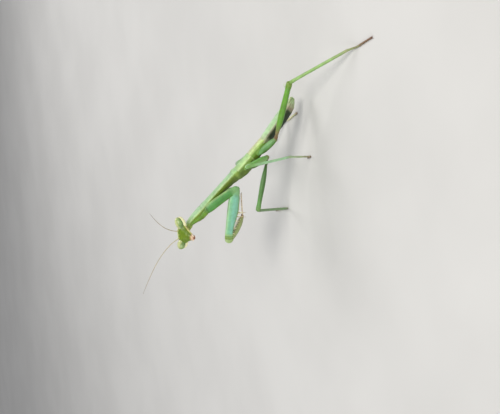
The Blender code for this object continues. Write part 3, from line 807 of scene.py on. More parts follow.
jaws = Shell()
jaws.sleeve(
    (in_jaw(0.32, 0, -2.72), in_jaw(0.34, 0, -3.00), in_jaw(0.22, 0, -3.26)),
    ((0, 0.40, 0.14, 0.12), (0.5, 0.36, 0.15, 0.12), (1, 0.22, 0.09, 0.08)),
    lambda f, a: -0.03 * peak(np.abs(a), 0, 12) * rise(f, 0.6, 1.0),
    sides=32, rings=30, ends=(0.4, 0.8), up=face_out,
)
for sign in (1, -1):
    jaws.sleeve(
        (
            in_jaw(0.04, sign * 0.32, -2.66),
            in_jaw(0.06, sign * 0.34, -3.00),
            in_jaw(0.10, sign * 0.10, -3.32),
        ),
        ((0, 0.18, 0.28, 0.26), (0.5, 0.18, 0.24, 0.22), (1, 0.08, 0.10, 0.10)),
        None,
        sides=24, rings=26, up=face_out,
    )
jaws.sleeve(
    (in_jaw(-0.24, 0, -2.66), in_jaw(-0.26, 0, -2.98), in_jaw(-0.16, 0, -3.24)),
    ((0, 0.30, 0.13, 0.11), (0.6, 0.26, 0.11, 0.11), (1, 0.15, 0.07, 0.07)),
    lambda f, a: -0.05 * peak(np.abs(a), 180, 14) * rise(f, 0.5, 1.0),
    sides=28, rings=26, up=face_out,
)


for sign in (1, -1):
    # The long palp on this side, and then the short one.
    jaws.sleeve(
        (
            in_jaw(-0.06, sign * 0.50, -2.60),
            in_jaw(0.10, sign * 0.58, -2.86),
            in_jaw(0.22, sign * 0.48, -3.14),
            in_jaw(0.24, sign * 0.26, -3.34),
        ),
        round_rows((0, 0.090), (0.5, 0.090), (1, 0.060)),
        lambda f, a: beads(f, 4, 0.025),
        sides=14, rings=50, up=face_out, finish=1,
    )
    jaws.sleeve(
        (
            in_jaw(-0.28, sign * 0.22, -2.90),
            in_jaw(-0.32, sign * 0.32, -3.10),
            in_jaw(-0.16, sign * 0.22, -3.36),
        ),
        round_rows((0, 0.060), (1, 0.040)),
        lambda f, a: beads(f, 3, 0.02),
        sides=12, rings=40, up=face_out, finish=1,
    )
jaws.make("lips_and_palps", [lip_skin, palp_skin], "mouth", "mouthparts")


# OCELLI
# Three simple eyes like glass beads, set in a triangle between the feelers. They are of one
# piece with the head.
ocelli = Shell()
for x, y, z in ((0.70, 0.0, -0.22), (0.60, 0.24, 0.06), (0.60, -0.24, 0.06)):
    ocelli.sleeve(
        (in_head(x - 0.05, y, z), in_head(x + 0.05, y, z)),
        round_rows((0, 0.085), (1, 0.085)),
        sides=16, rings=5, ends=(0.6, 0.8), up=HEAD_AXES[:, 2],
    )
ocelli.make("ocelli", [eye_glass_and_painted_light], "eye")


# ANTENNAE
# Whip-thin feelers of horn: a stout root joint in a socket, a short second one, and then a
# thread of many beads that tapers to a hair.
antenna_skin = horn(
    "antenna_skin",
    ((0, 186, 170, 128), (1, 150, 134, 96)),
    (
        (0, 196, 196, 132, 0.9), (0.06, 204, 192, 146, 0.8), (0.25, 180, 160, 120, 0),
        (0.7, 140, 110, 80, 0.3), (1, 110, 86, 64, 0.8),
    ),
    rough=0.5, fine=14000.0,
)
root_skin = horn(
    "antenna_root_skin",
    ((0, 220, 212, 150), (1, 198, 188, 124)),
    ((0, 206, 210, 140, 0.4), (1, 218, 206, 152, 0.6)),
)


def heading(azimuth, elevation):
    """A direction, from the angle round from straight ahead and the angle above level."""
    a, e = math.radians(azimuth), math.radians(elevation)
    return np.array((math.cos(a) * math.cos(e), math.sin(a) * math.cos(e), math.sin(e)))


ANTENNA_STEPS = 9
ANTENNA_BEADS = 46
ANTENNA_UP = (-1, 0.3, 0)
# The heading at the root and at the tip, as azimuth and elevation, and the length.
ANTENNAE = {
    "antenna_left": (1, (126, 62), (148, 34), 10.2),
    "antenna_right": (-1, (20, 66), (1, 22), 12.3),
}
for name, (sign, first, last, length) in ANTENNAE.items():
    socket = in_head(0.72, sign * 0.74, -0.15)
    line = [socket, in_head(0.95, sign * 0.74, -0.15)]
    for k in range(ANTENNA_STEPS):
        t = 1 - (1 - (k + 0.5) / ANTENNA_STEPS) ** 2.2
        turn = [p + (q - p) * t for p, q in zip(first, last)]
        line.append(line[-1] + heading(*turn) * length / ANTENNA_STEPS)
    whip = Shell()
    whip.sleeve(
        (socket - 0.1 * face_out, line[1] + 0.10 * heading(*first)),
        round_rows((0, 0.10), (0.5, 0.115), (1, 0.09)),
        sides=20, rings=14, ends=(0.4, 0.5), up=ANTENNA_UP, finish=1,
    )
    whip.sleeve(
        (line[1], line[1] + 0.30 * heading(*first)),
        round_rows((0, 0.078), (1, 0.078)),
        sides=18, rings=10, ends=(0.4, 0.5), up=ANTENNA_UP, finish=1,
    )
    whip.sleeve(
        line[1:],
        round_rows((0, 0.070), (0.3, 0.058), (0.8, 0.040), (1, 0.026)),
        lambda f, a: beads(f, ANTENNA_BEADS, 0.010),
        sides=10, rings=420, ends=(0.5, 1.0), up=ANTENNA_UP,
    )
    whip.make(name + "_thread", [antenna_skin, root_skin], "antenna", name)


# HIPS OF THE WALKING LEGS
# Stout horny cones that stand under the body, one for each of the four slender legs, with the
# side plate of the body that each one is hinged to.
coxa_skin = horn(
    "coxa_skin",
    (
        (0, 120, 168, 104), (0.30, 108, 158, 92), (0.48, 84, 130, 48), (0.66, 76, 108, 26),
        (1, 70, 92, 22),
    ),
    (
        (0, 90, 120, 40, 0.4), (0.3, 120, 170, 110, 0), (0.9, 120, 150, 80, 0),
        (1, 130, 110, 70, 0.6),
    ),
    coat=0.06,
)
plate_skin = horn(
    "plate_skin",
    ((0, 128, 168, 82), (0.5, 122, 160, 72), (1, 100, 134, 50)),
    rough=0.48, coat=0.04,
)
# The root, hip joint, knee and ankle of each leg.
LEGS = {
    "mid_left": ((2.16, -3.60, 11.24), (0.58, -3.41, 7.84), (0.05, 2.64, 14.82), (-0.35, 0.34, 5.10)),
    "mid_right": ((2.16, -5.50, 11.24), (2.29, -5.96, 6.67), (11.42, -4.35, 8.72), (13.33, -8.44, 0.25)),
    "hind_left": ((-0.40, -3.80, 9.11), (-3.12, -2.29, 6.93), (-14.34, 1.10, 6.62), (-21.51, 10.37, 1.01)),
    "hind_right": ((-0.40, -5.30, 9.11), (-1.46, -6.26, 6.47), (5.48, -15.34, 8.43), (-3.48, -11.78, 0.95)),
}
HIP_HALF = {"mid": 0.80, "hind": 0.76}
# The slope of the body, which the side plates follow.
PLATE_WAY = np.array((0.724, 0.0, 0.690))


def scaled(half, *rows):
    """Girths of a limb. Each row is a fraction of the length and a share of the half depth."""
    return [(f, g * half * 0.96, g * half, g * half) for f, g in rows]


for tag, joints in LEGS.items():
    base, hip = np.array(joints[:2])
    way = unit(hip - base)
    outer = np.array((0.0, 1.0 if tag.endswith("left") else -1.0, 0.0))
    half = HIP_HALF[tag.split("_")[0]]
    coxa = Shell()
    coxa.sleeve(
        (base - way * 0.75 + outer * 0.16, base + way * 0.5 + outer * 0.06, hip),
        scaled(half, (0, 0.34), (0.16, 0.62), (0.38, 0.84), (0.62, 0.84), (0.85, 0.70), (1, 0.58)),
        lambda f, a: 0.03 * np.cos(np.radians(3 * a)) * (1 - f) - 0.05 * peak(f, 0.92, 0.025),
        sides=36, rings=60, ends=(0.7, 0.6),
    )
    plate_axes = np.stack((outer, np.cross(PLATE_WAY, outer), PLATE_WAY), 1)
    middle = base - outer * 0.10 + (-0.12, 0.0, 0.42)
    coxa.dome(middle, plate_axes, (0.30, 0.50, 1.00), 1, 32, 24)
    coxa.make("hip_" + tag, [coxa_skin, plate_skin], "leg", "coxa_" + tag)


# THIGHS OF THE WALKING LEGS
# Long horny tubes, with low ridges down them and short hairs. A small ring at the upper end
# hinges each one to its hip, and the hind left one has a pale hooked spine on its knee.
mid_femur_skin = horn(
    "mid_femur_skin",
    ((0, 156, 226, 136), (0.35, 142, 212, 116), (0.7, 122, 186, 86), (1, 130, 184, 94)),
    (
        (0, 150, 124, 84, 0.8), (0.07, 130, 130, 76, 0.5), (0.14, 110, 160, 90, 0),
        (0.84, 110, 160, 90, 0), (0.94, 160, 204, 150, 0.8), (1, 166, 206, 152, 0.95),
    ),
    coat=0.06,
)
# The thighs of the two far legs, on the right, take darker copies of the near thigh's colours. This is
# painted shade.
far_hind_painted_shade = horn(
    "far_hind_painted_shade",
    ((0, 128, 168, 108), (0.35, 116, 158, 96), (0.7, 104, 146, 84), (1, 118, 158, 98)),
    (
        (0, 128, 112, 80, 0.7), (0.14, 110, 130, 76, 0), (0.84, 140, 176, 128, 0),
        (0.95, 144, 176, 134, 0.9), (1, 146, 176, 136, 0.95),
    ),
    coat=0.04,
)
far_femur_painted_shade = horn(
    "far_femur_painted_shade",
    ((0, 98, 142, 78), (0.35, 84, 128, 62), (0.7, 76, 118, 56), (1, 92, 132, 68)),
    (
        (0, 120, 110, 66, 0.7), (0.12, 100, 116, 60, 0), (0.60, 100, 150, 76, 0),
        (0.90, 112, 168, 86, 0.65), (1, 128, 170, 96, 0.7),
    ),
    coat=0.04,
)
hind_femur_skin = horn(
    "hind_femur_skin",
    ((0, 108, 162, 50), (0.35, 98, 154, 42), (0.7, 90, 144, 40), (1, 110, 160, 58)),
    (
        (0, 134, 96, 70, 0.95), (0.12, 134, 106, 76, 0.85), (0.24, 118, 128, 66, 0.5),
        (0.33, 104, 154, 58, 0), (0.88, 110, 160, 60, 0), (0.96, 120, 152, 56, 0.6),
        (1, 124, 146, 60, 0.8),
    ),
    coat=0.06,
)
fringe_horn = horn("fringe_horn", ((0, 206, 216, 184), (1, 186, 196, 160)), rough=0.4, tone=0.1)
THIGH_HALF = {"mid": 0.50, "hind": 0.60}
# Two builds of thigh: a fraction of the length, and a share of the half depth there.
SLENDER = (
    (0, 0.54), (0.05, 0.58), (0.075, 0.52), (0.16, 0.64), (0.32, 0.92), (0.45, 1.00), (0.70, 0.90),
    (0.88, 0.84), (0.95, 0.96), (1, 0.92),
)
EVEN = (
    (0, 0.80), (0.05, 0.84), (0.075, 0.76), (0.16, 0.99), (0.55, 0.83), (0.88, 0.66), (0.95, 0.76),
    (1, 0.74),
)
THIGHS = {
    "mid_left": (EVEN, mid_femur_skin),
    "mid_right": (SLENDER, far_femur_painted_shade),
    "hind_left": (SLENDER, hind_femur_skin),
    "hind_right": (SLENDER, far_hind_painted_shade),
}
# The hooked spine: how far back from the knee it is, and how far above it.
HOOK = ((1.04, 0.36), (0.86, 0.72), (0.58, 0.98), (0.18, 1.08), (-0.06, 0.86))


def ribbed(f, a):
    """Low ridges down the length of a thigh or shin, which fade out at both ends."""
    return 0.022 * np.cos(np.radians(4 * a + 45)) ** 3 * stretch(f, 0.08, 0.16, 0.9, 0.96)


def bristles(shell, start, end, thick, count, seed, length=0.22):
    """Short stiff hairs that lean towards the far end of a limb."""
    draw = np.random.default_rng(seed)
    along = unit(end - start)
    side = unit(np.cross(along, (0.31, 0.52, 0.79)))
    top = np.cross(along, side)
    for k in range(count):
        turn = draw.uniform(0, 2 * math.pi)
        out = side * math.cos(turn) + top * math.sin(turn)
        root = start + (end - start) * (k + draw.uniform(0.2, 0.8)) / count + out * thick * 0.85
        size = length * draw.uniform(0.6, 1.1)
        tip = root + along * size * 0.75 + out * size * 0.55
        if tip[2] > 0.04:
            shell.thorn(root, tip, 0.014, -along * 0.02, 0, 5)


for tag, (rows, skin) in THIGHS.items():
    hip, knee = np.array(LEGS[tag][1:3])
    way = unit(knee - hip)
    half = THIGH_HALF[tag.split("_")[0]]
    thigh = Shell()
    thigh.sleeve(
        (hip + way * 0.02, knee - way * 0.15),
        scaled(half, *rows),
        lambda f, a: ribbed(f, a) - 0.05 * peak(f, 0.07, 0.010),
        sides=32, rings=110, ends=(0.8, 0.75),
    )
    bristles(thigh, hip + way * 1.2, knee - way * 0.8, half * 0.8, 26, 11, 0.16)
    if tag == "hind_left":
        thigh.sleeve(
            [knee - way * back + (0, 0.1 * above, above) for back, above in HOOK],
            round_rows((0, 0.075), (0.6, 0.06), (1, 0.025)),
            sides=12, rings=30, ends=(0.5, 1.0), up=(0.3, 1, 0), finish=1,
        )
    thigh.make("thigh_" + tag, [skin, fringe_horn], "leg", "femur_" + tag)


# SHINS OF THE WALKING LEGS
# Thin, nearly straight horny tubes with short hairs, and a pair of spurs at the lower end.
# Each one hinges in the forked knee of its thigh.
shin_skin = horn(
    "shin_skin",
    ((0, 186, 226, 184), (0.5, 162, 208, 156), (1, 168, 212, 164)),
    (
        (0, 114, 162, 74, 0.9), (0.12, 118, 168, 80, 0.8), (0.26, 130, 182, 102, 0.4),
        (0.42, 150, 200, 140, 0), (0.88, 160, 180, 130, 0), (1, 176, 176, 136, 0.6),
    ),
    coat=0.06,
)
# The shins of the far legs take a darker copy of the near shin's colours. This is painted shade.
far_shin_painted_shade = horn(
    "far_shin_painted_shade",
    ((0, 136, 170, 122), (0.5, 116, 148, 98), (1, 120, 154, 104)),
    (
        (0, 140, 170, 96, 0.5), (0.08, 130, 160, 100, 0), (0.88, 130, 150, 110, 0),
        (1, 150, 150, 116, 0.6),
    ),
    coat=0.04,
)
hind_shin_skin = horn(
    "hind_shin_skin",
    ((0, 156, 192, 116), (0.5, 134, 174, 92), (1, 146, 180, 108)),
    (
        (0, 120, 170, 60, 0.8), (0.10, 140, 184, 90, 0.2), (0.55, 150, 180, 120, 0),
        (0.90, 150, 158, 112, 0.5), (1, 160, 150, 116, 0.7),
    ),
    coat=0.06,
)
SHIN_HALF = {"mid": 0.31, "hind": 0.34}
SHINS = {
    "mid_left": shin_skin,
    "mid_right": far_shin_painted_shade,
    "hind_left": hind_shin_skin,
    "hind_right": far_shin_painted_shade,
}
for tag, skin in SHINS.items():
    hip, knee, ankle = np.array(LEGS[tag][1:])
    thigh_way = unit(knee - hip)
    way = unit(ankle - knee)
    inner = unit(way - thigh_way * way.dot(thigh_way))
    half = SHIN_HALF[tag.split("_")[0]]
    shin = Shell()
    shin.sleeve(
        (
            knee - thigh_way * 0.02 + inner * 0.08,
            between(knee, ankle, 0.1) + inner * 0.03,
            between(knee, ankle, 0.5),
            ankle,
        ),
        scaled(half, (0, 0.98), (0.05, 1.04), (0.12, 0.88), (0.6, 0.80), (0.93, 0.74), (1, 0.72)),
        lambda f, a: 0.6 * ribbed(f, a),
        sides=28, rings=110, ends=(0.8, 0.7),
    )
    bristles(shin, knee + way * 0.8, ankle - way * 0.3, half * 0.8, 44, 12, 0.20)
    beside = np.cross(way, inner)
    for sign in (1, -1):
        root = ankle - way * 0.12 + beside * 0.2 * sign + inner * 0.1
        tip = root + way * 0.42 + beside * 0.14 * sign + inner * 0.1
        tip[2] = max(tip[2], 0.06)
        shin.thorn(root, tip, 0.05, finish=0)
    shin.make("shin_" + tag, [skin], "leg", "tibia_" + tag)


# FEET OF THE WALKING LEGS
# Each foot has five horny joints with soft pads below, and two curved claws. It slopes down
# from the end of the shin and lies along the floor.
foot_skin = horn(
    "foot_skin",
    ((0, 180, 190, 150), (1, 150, 150, 110)),
    (
        (0, 170, 204, 158, 0.7), (0.42, 172, 198, 152, 0.5), (0.60, 170, 176, 132, 0.2),
        (0.74, 150, 130, 96, 0.75), (0.86, 112, 80, 58, 0.95), (1, 96, 66, 46, 1),
    ),
    rough=0.5,
)
hind_foot_skin = horn(
    "hind_foot_skin",
    ((0, 150, 150, 108), (1, 124, 120, 84)),
    (
        (0, 140, 160, 96, 0.7), (0.34, 140, 140, 96, 0.3), (0.46, 126, 98, 68, 0.85),
        (0.75, 118, 86, 60, 0.95), (1, 112, 82, 60, 1),
    ),
    rough=0.5,
)
pale_foot_skin = horn(
    "pale_foot_skin",
    ((0, 206, 204, 160), (1, 184, 178, 132)),
    ((0, 196, 200, 150, 0.3), (0.8, 206, 196, 150, 0.1), (1, 176, 150, 108, 0.6)),
    rough=0.5,
)
claw_horn = horn("claw_horn", ((0, 120, 70, 40), (1, 84, 44, 24)), rough=0.25, tone=0.15, coat=0.4)
# The heading of each foot, how far it runs and drops before it lies flat, its length and skin.
FEET = {
    "mid_left": (-60, 1.41, 4.90, 6.0, foot_skin),
    "mid_right": (-66, 0.2, 0.05, 5.3, foot_skin),
    "hind_left": (118, 1.76, 0.81, 6.6, hind_foot_skin),
    "hind_right": (124, 1.64, 0.75, 5.4, pale_foot_skin),
}
FOOT_CUTS = (0.50, 0.66, 0.78, 0.87)
FOOT_HEIGHT = 0.19
CLAW_HEIGHT = 0.045


def foot_relief(f, a):
    """The cuts between the joints, and the pad before each one."""
    cuts = sum(peak(f, cut, 0.012) for cut in FOOT_CUTS)
    pads = sum(peak(f, cut - 0.03, 0.02) for cut in FOOT_CUTS)
    return -0.045 * cuts + 0.02 * pads * rise(np.abs(a), 110, 170)


for tag, (azimuth, run, drop, length, skin) in FEET.items():
    ankle = np.array(LEGS[tag][3])
    way = heading(azimuth, 0)
    slope = math.hypot(run, drop)
    land = ankle + way * run
    land[2] = FOOT_HEIGHT
    flat = way * (length - slope)
    line = [ankle, ankle + (land - ankle) * 0.5, land + (0, 0, 0.02), land + flat * 0.5, land + flat]
    if slope < 0.5:
        del line[1:3]
    toes = Shell()
    toes.sleeve(
        line,
        (
            (0, 0.20, 0.20, 0.20), (0.1, 0.18, 0.18, 0.18), (0.48, 0.19, 0.19, 0.18),
            (0.52, 0.175, 0.175, 0.17), (0.86, 0.16, 0.16, 0.16), (0.98, 0.18, 0.17, 0.16),
            (1, 0.15, 0.14, 0.14),
        ),
        foot_relief,
        sides=20, rings=150, ends=(0.6, 0.5), up=(0.02, 0.01, 1) if slope < 3 else (1, 0.3, 0.2),
    )
    side = np.cross((0, 0, 1), way)
    for sign in (1, -1):
        root = line[-1] + side * 0.06 * sign
        tip = line[-1] + way * 0.30 + side * 0.20 * sign
        tip[2] = CLAW_HEIGHT
        toes.thorn(root, tip, 0.045, (0, 0, 0.09))
    toes.make("foot_" + tag, [skin, claw_horn], "tarsus", "tarsus_" + tag)


# HIPS OF THE GRASPING LEGS
# The long three-edged horny hips of the two forelegs, with small teeth on the front edge.
# Each one turns in a soft bulge of the wrinkled side wall below the shield.
# The darker olive at the root and the dark ring at the pit are painted shade, where the hip turns in its
# socket under the body.
fore_coxa_skin_and_painted_shade = horn(
    "fore_coxa_skin_and_painted_shade",
    (
        (0, 150, 186, 118), (0.08, 132, 172, 104), (0.20, 92, 153, 82), (0.50, 80, 142, 66),
        (0.66, 82, 132, 44), (0.80, 116, 146, 52), (1, 96, 120, 44),
    ),
    (
        (0, 104, 142, 44, 0.9), (0.10, 100, 140, 46, 0.7), (0.125, 60, 86, 24, 0.6),
        (0.15, 84, 134, 60, 0.15), (0.22, 84, 134, 60, 0), (0.86, 110, 164, 96, 0),
        (0.95, 124, 176, 112, 0.85), (1, 130, 178, 112, 1),
    ),
    depth=0.6, coat=0.06,
)
wall_skin = horn(
    "wall_skin",
    (
        (0, 110, 150, 60), (0.35, 104, 148, 44), (0.60, 112, 148, 42), (0.85, 134, 158, 66),
        (1, 120, 146, 56),
    ),
    (
        (0, 84, 110, 40, 0.5), (0.2, 110, 140, 50, 0), (0.8, 130, 160, 70, 0),
        (1, 140, 172, 84, 0.5),
    ),
    rough=0.5, tone=0.35, coat=0.03,
)
# The root, hip joint, knee and wrist of each leg.
FORELEGS = {
    "left": ((9.95, -3.60, 19.47), (6.21, -2.53, 14.57), (15.84, -2.71, 15.16), (11.77, -2.81, 12.81)),
    "right": ((9.95, -5.50, 19.47), (7.50, -5.78, 13.18), (17.28, -5.97, 13.78), (13.21, -6.07, 11.43)),
}


def fore_coxa_relief(f, a):
    edges = 0.05 * peak(a, 0, 9) + 0.04 * peak(a, 118, 9) + 0.04 * peak(a, -118, 9)
    teeth = 0.03 * peak(a, 0, 7) * np.maximum(0, np.sin(2 * np.pi * f * 15)) * rise(f, 0.2, 0.3)
    dished = -0.05 * peak(np.abs(a), 62, 26)
    pits = -0.10 * peak(f, 0.12, 0.02) * (peak(a, -60, 22) + peak(a, 60, 22))
    return (edges + teeth + dished) * stretch(f, 0.10, 0.22, 0.9, 1.0) + pits


for tag, joints in FORELEGS.items():
    base, hip = np.array(joints[:2])
    way = unit(hip - base)
    sign = 1 if tag == "left" else -1
    across = np.array((0.0, sign, 0.0))
    coxa = Shell()
    coxa.sleeve(
        (base - way * 0.75, hip - way * 0.1),
        (
            (0.00, 0.36, 0.50, 0.36), (0.10, 0.56, 0.80, 0.60), (0.24, 0.65, 1.04, 0.66),
            (0.42, 0.62, 1.12, 0.62), (0.62, 0.58, 1.08, 0.58), (0.82, 0.53, 1.04, 0.58),
            (0.94, 0.52, 1.02, 0.64), (1.00, 0.48, 0.90, 0.62),
        ),
        fore_coxa_relief,
        sides=60, rings=120, ends=(0.7, 0.55), up=np.cross((0, 1, 0), way),
    )
    # The soft bulge that it turns in, and then the side wall.
    socket_axes = np.stack((across, np.cross(way, across), way), 1)
    coxa.dome(base - way * 0.55 - across * 0.30, socket_axes, (0.52, 0.74, 0.95), 1, 32, 24)

    def wall_relief(f, a):
        wrinkles = 0.014 * np.sin(f * 31 + 1.3 * np.sin(np.radians(2 * a)))
        upper_fold = 0.09 * peak(f, 0.22, 0.025) * peak(a, sign * 70, 30)
        lower_fold = 0.06 * peak(f, 0.46, 0.022) * peak(a, sign * 100, 26)
        return wrinkles - upper_fold - lower_fold

    inward = across * -0.12
    coxa.sleeve(
        (
            base + (0.15, 0, 0.22) + inward,
            base + (1.04, 0, 1.09) + inward,
            base + (1.81, 0, 2.44) + inward,
            base + (2.50, 0, 3.26) + inward * 2,
        ),
        ((0, 0.52, 0.62, 0.66), (0.3, 0.54, 0.46, 0.64), (0.7, 0.46, 0.12, 0.52), (1, 0.30, 0.02, 0.30)),
        wall_relief,
        sides=44, rings=90, ends=(0.6, 0.7), finish=1,
    )
    coxa.make("fore_hip_" + tag, [fore_coxa_skin_and_painted_shade, wall_skin], "foreleg", "fore_coxa_" + tag)


# THIGHS OF THE GRASPING LEGS
# Deep flat horny blades that lie back along the hips. A groove runs below each one between
# two rows of fixed spines, and long movable spines stand in it.
fore_femur_skin = horn(
    "fore_femur_skin",
    (
        (0, 160, 200, 140), (0.14, 160, 206, 160), (0.24, 134, 196, 150), (0.50, 136, 200, 174),
        (0.70, 128, 188, 154), (0.80, 130, 166, 92), (0.90, 70, 92, 30), (1, 44, 58, 20),
    ),
    (
        (0, 130, 178, 110, 0.9), (0.08, 132, 182, 116, 0.75), (0.20, 132, 188, 140, 0),
        (0.86, 140, 184, 124, 0), (0.915, 164, 200, 116, 0.7), (0.935, 108, 138, 38, 0.8),
        (0.960, 146, 170, 58, 0.85), (0.982, 98, 118, 24, 0.9), (0.992, 134, 160, 74, 0.9),
        (1, 168, 192, 122, 0.95),
    ),
    fine=8000.0, depth=0.55, tone=0.14, coat=0.06,
)
spine_horn = horn(
    "spine_horn",
    ((0, 232, 224, 186), (1, 222, 212, 170)),
    ((0, 214, 212, 160, 0.5), (0.78, 226, 218, 176, 0), (1, 80, 50, 32, 0.9)),
    rough=0.3, tone=0.1, coat=0.3,
)
FORE_THIGH = (
    (0.00, 0.40, 0.68, 0.92), (0.06, 0.45, 0.82, 1.00), (0.17, 0.52, 0.93, 1.12),
    (0.28, 0.55, 0.99, 1.22), (0.42, 0.56, 1.01, 1.24), (0.52, 0.54, 1.00, 1.10),
    (0.66, 0.50, 0.97, 0.80), (0.80, 0.47, 0.94, 0.56), (0.90, 0.46, 0.92, 0.56),
    (0.97, 0.46, 0.92, 0.84), (1.00, 0.43, 0.86, 0.84),
)
# Where each outer spine stands along the thigh, and its length.
OUTER_SPINES = ((0.47, 0.52), (0.62, 0.60), (0.76, 0.62), (0.87, 0.50))
# Where each long spine stands, how far it reaches, and how far forward it leans.
LONG_SPINES = ((0.475, 2.90, 0.10), (0.555, 2.95, 0.14))
INNER_SPINES = 12
SPINE_SINK = 0.14


def fore_femur_relief(f, a):
    s = np.abs(a)
    keels = 0.035 * peak(s, 22, 7) + 0.04 * peak(s, 148, 8)
    face = -0.05 * peak(s, 90, 34)
    groove = -0.20 * peak(s, 180, 20) * stretch(f, 0.2, 0.34, 0.86, 0.94)
    joint = -0.07 * peak(f, 0.125, 0.012)
    lobe = 0.06 * peak(f, 0.965, 0.03) * peak(s, 105, 30)
    return (keels + face) * stretch(f, 0.12, 0.22, 0.88, 0.95) + groove + joint + lobe


for tag, joints in FORELEGS.items():
    hip, knee = np.array(joints[1:3])
    way = unit(knee - hip)
    across = np.array((0.0, 1.0 if tag == "left" else -1.0, 0.0))
    up = unit(np.cross(way, (0, 1, 0)))
    down = -up
    crown = hip - way * 0.38
    thigh = Shell()
    thigh.sleeve((crown, knee), FORE_THIGH, fore_femur_relief, 64, 150, (0.62, 1.0), up)

    def belly_edge(f):
        """A place just inside the lower edge of the thigh."""
        depth = eased(FORE_THIGH, np.array([f]))[0, 2]
        return between(crown, knee, f) + down * (depth - SPINE_SINK)

    for f, size in OUTER_SPINES:
        root = belly_edge(f) + across * 0.36
        thigh.thorn(root, root + across * 0.14 + down * size + way * 0.14, 0.10, way * 0.06)
    for k in range(INNER_SPINES):
        size = 0.42 if k % 2 else 0.26
        root = belly_edge(0.34 + 0.050 * k) - across * 0.30
        thigh.thorn(root, root - across * 0.06 + down * size + way * 0.08, 0.06, way * 0.03)
    for f, reach, lean in LONG_SPINES:
        middle = between(crown, knee, f)
        thigh.thorn(middle + down * 0.85, middle + down * reach + way * lean, 0.10, -way * 0.06)
    bristles(thigh, crown + way * 1.2, knee - way * 0.6, 0.62, 34, 21, 0.14)
    thigh.make("fore_thigh_" + tag, [fore_femur_skin, spine_horn], "foreleg", "fore_femur_" + tag)


# SHINS OF THE GRASPING LEGS
# Short horny bars with a comb of spines on each inner edge and a hooked claw at the end. Each
# one shuts against its thigh like a clasp knife.
fore_tibia_skin = horn(
    "fore_tibia_skin",
    (
        (0, 176, 148, 104), (0.12, 170, 166, 116), (0.28, 154, 170, 118), (0.60, 142, 158, 96),
        (1, 96, 100, 44),
    ),
    (
        (0, 116, 134, 56, 0.6), (0.2, 140, 150, 90, 0), (0.80, 160, 140, 90, 0.1),
        (0.9, 150, 110, 66, 0.7), (1, 96, 56, 32, 0.95),
    ),
    coat=0.06,
)


def fore_tibia_relief(f, a):
    s = np.abs(a)
    keels = 0.03 * peak(s, 150, 10) + 0.04 * peak(s, 0, 14)
    return keels * stretch(f, 0.1, 0.2, 0.7, 0.8)


for tag, joints in FORELEGS.items():
    hip, knee, wrist = np.array(joints[1:])
    way = unit(wrist - knee)
    across = np.array((0.0, 1.0 if tag == "left" else -1.0, 0.0))
    up = unit(np.cross(knee - hip, (0, 1, 0)))
    inner = unit(up - way * up.dot(way))
    shin = Shell()
    shin.sleeve(
        (
            knee - inner * 0.22 + way * 0.10,
            between(knee, wrist, 0.30) - inner * 0.42,
            between(knee, wrist, 0.65) - inner * 0.38,
            between(knee, wrist, 0.92) - inner * 0.14,
            wrist + way * 0.34 - inner * 0.02,
            wrist + way * 0.66 + inner * 0.30,
        ),
        (
            (0.00, 0.34, 0.46, 0.48), (0.10, 0.35, 0.50, 0.50), (0.40, 0.34, 0.52, 0.50),
            (0.70, 0.31, 0.46, 0.46), (0.86, 0.25, 0.32, 0.36), (0.94, 0.15, 0.15, 0.20),
            (1.00, 0.06, 0.05, 0.06),
        ),
        fore_tibia_relief,
        sides=36, rings=120, ends=(0.8, 0.6), up=-inner,
    )
    for side_way, count in ((across, 9), (-across, 12)):
        for f in np.linspace(0.16, 0.90, count):
            root = between(knee, wrist, f) + inner * (0.06 + 0.10 * f) + side_way * 0.22
            reach = inner * (0.18 + 0.18 * f)
            shin.thorn(root, root + reach + way * 0.16 + side_way * 0.03, 0.05, way * 0.02)
    shin.make("fore_shin_" + tag, [fore_tibia_skin, spine_horn], "foreleg", "fore_tibia_" + tag)


# FEET OF THE GRASPING LEGS
# Thread-thin horny feet of five joints with two small claws. Each one is hinged beside the
# hooked claw of the shin and trails back from it.
fore_foot_skin = horn(
    "fore_foot_skin",
    ((0, 244, 224, 200), (1, 226, 204, 178)),
    ((0, 220, 190, 160, 0.4), (0.5, 190, 170, 150, 0), (1, 180, 146, 120, 0.6)),
    rough=0.5,
)
FORE_FOOT_LENGTH = 4.3
FORE_FOOT_CUTS = (0.44, 0.62, 0.76, 0.87)
for tag, joints in FORELEGS.items():
    knee, wrist = np.array(joints[2:])
    shin_way = unit(wrist - knee)
    way = heading(180, 6.5)
    root = wrist + shin_way * 0.30 + (0, 0.06, 0.0)
    start = wrist + shin_way * 0.46 + way * 0.16 + (0, 0.06, 0.02)
    tip = start + way * FORE_FOOT_LENGTH
    toes = Shell()
    toes.sleeve(
        (root, start, start + way * 2.2 + (0, 0, 0.03), tip),
        round_rows((0, 0.10), (0.1, 0.070), (0.43, 0.074), (0.9, 0.060), (1, 0.055)),
        lambda f, a: -0.022 * sum(peak(f, cut, 0.012) for cut in FORE_FOOT_CUTS),
        sides=18, rings=130,
    )
    for sign in (1, -1):
        toes.thorn(tip, tip + way * 0.24 + (0, 0.11 * sign, -0.05), 0.03, (0, 0, 0.05))
    toes.make("fore_foot_" + tag, [fore_foot_skin, claw_horn], "tarsus", "fore_tarsus_" + tag)


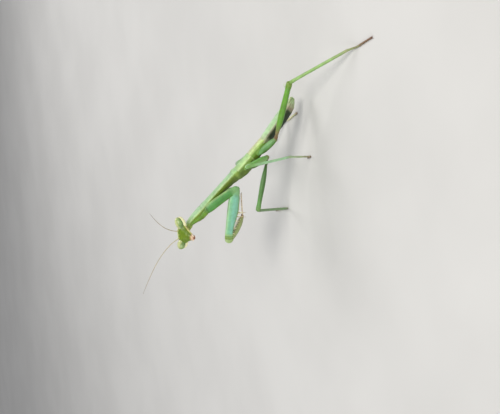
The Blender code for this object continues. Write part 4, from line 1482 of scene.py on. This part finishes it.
# FLOOR, LIGHT AND CAMERA
# A plain pale floor of matt board under three soft lamps and an even sky. The camera stands
# to the animal's left and above it, and is turned on its side.
def make_floor():
    made, tree, shader = new_material("pale_floor")
    spot = add(tree, "TexCoord").outputs["Object"]
    cloud = add(tree, "TexNoise", None, Vector=spot, Scale=30.0, Detail=3.0)
    tint = bands(tree, cloud.outputs["Fac"], ((0.3, 208, 206, 202), (0.7, 214, 212, 208)))
    feed(tree, shader.inputs["Base Color"], tint.outputs["Color"])
    feed(tree, shader.inputs["Roughness"], sums(tree, "MULTIPLY_ADD", cloud.outputs["Fac"], 0.1, 0.75))
    mesh = bpy.data.meshes.new("floor")
    sheet = bmesh.new()
    bmesh.ops.create_grid(sheet, x_segments=8, y_segments=8, size=2.0)
    sheet.to_mesh(mesh)
    sheet.free()
    mesh.materials.append(made)
    placed("floor", mesh)


make_floor()


def soft_light(name, place, size, power, colour):
    """A round lamp that faces the animal. Place is in millimetres from it, and size in metres."""
    lamp = bpy.data.lights.new(name, "AREA")
    lamp.shape = "DISK"
    lamp.size = size
    lamp.energy = power
    lamp.color = colour
    stand = placed(name, lamp)
    spot = Vector(place) * 0.001
    stand.location = spot + Vector((0, 0, 0.012))
    stand.rotation_mode = "QUATERNION"
    stand.rotation_quaternion = spot.to_track_quat("Z", "Y")


soft_light("key", (-120, 160, 260), 0.16, 0.66, (1.0, 0.98, 0.94))
soft_light("fill", (200, 120, 140), 0.20, 0.20, (0.94, 0.97, 1.0))
soft_light("rim", (-60, -220, 200), 0.16, 0.30, (1.0, 1.0, 1.0))
world = bpy.data.worlds.new("studio")
world.use_nodes = True
sky = world.node_tree.nodes["Background"]
sky.inputs["Color"].default_value = (0.93, 0.95, 1.0, 1.0)
sky.inputs["Strength"].default_value = 0.38
bpy.context.scene.world = world
TOWARDS_CAMERA = Vector((-0.3425, 0.8473, 0.4059)).normalized()
RIGHT = Vector((-0.049, 0.417, -0.908))
TARGET = Vector((10.583, -4.55, 10.353))
CAMERA_DISTANCE = 161.5
FOCAL_LENGTH = 61.2
lens = bpy.data.cameras.new("camera")
lens.lens = FOCAL_LENGTH
lens.sensor_width = 36.0
lens.sensor_fit = "HORIZONTAL"
lens.clip_start = 0.01
lens.clip_end = 20.0
camera = placed("camera", lens)
right = (RIGHT - TOWARDS_CAMERA * RIGHT.dot(TOWARDS_CAMERA)).normalized()
turn = Matrix((right, TOWARDS_CAMERA.cross(right), TOWARDS_CAMERA)).transposed().to_4x4()
camera.matrix_world = Matrix.Translation((TARGET + TOWARDS_CAMERA * CAMERA_DISTANCE) * 0.001) @ turn
bpy.context.scene.camera = camera
bpy.context.scene.view_settings.view_transform = "Standard"
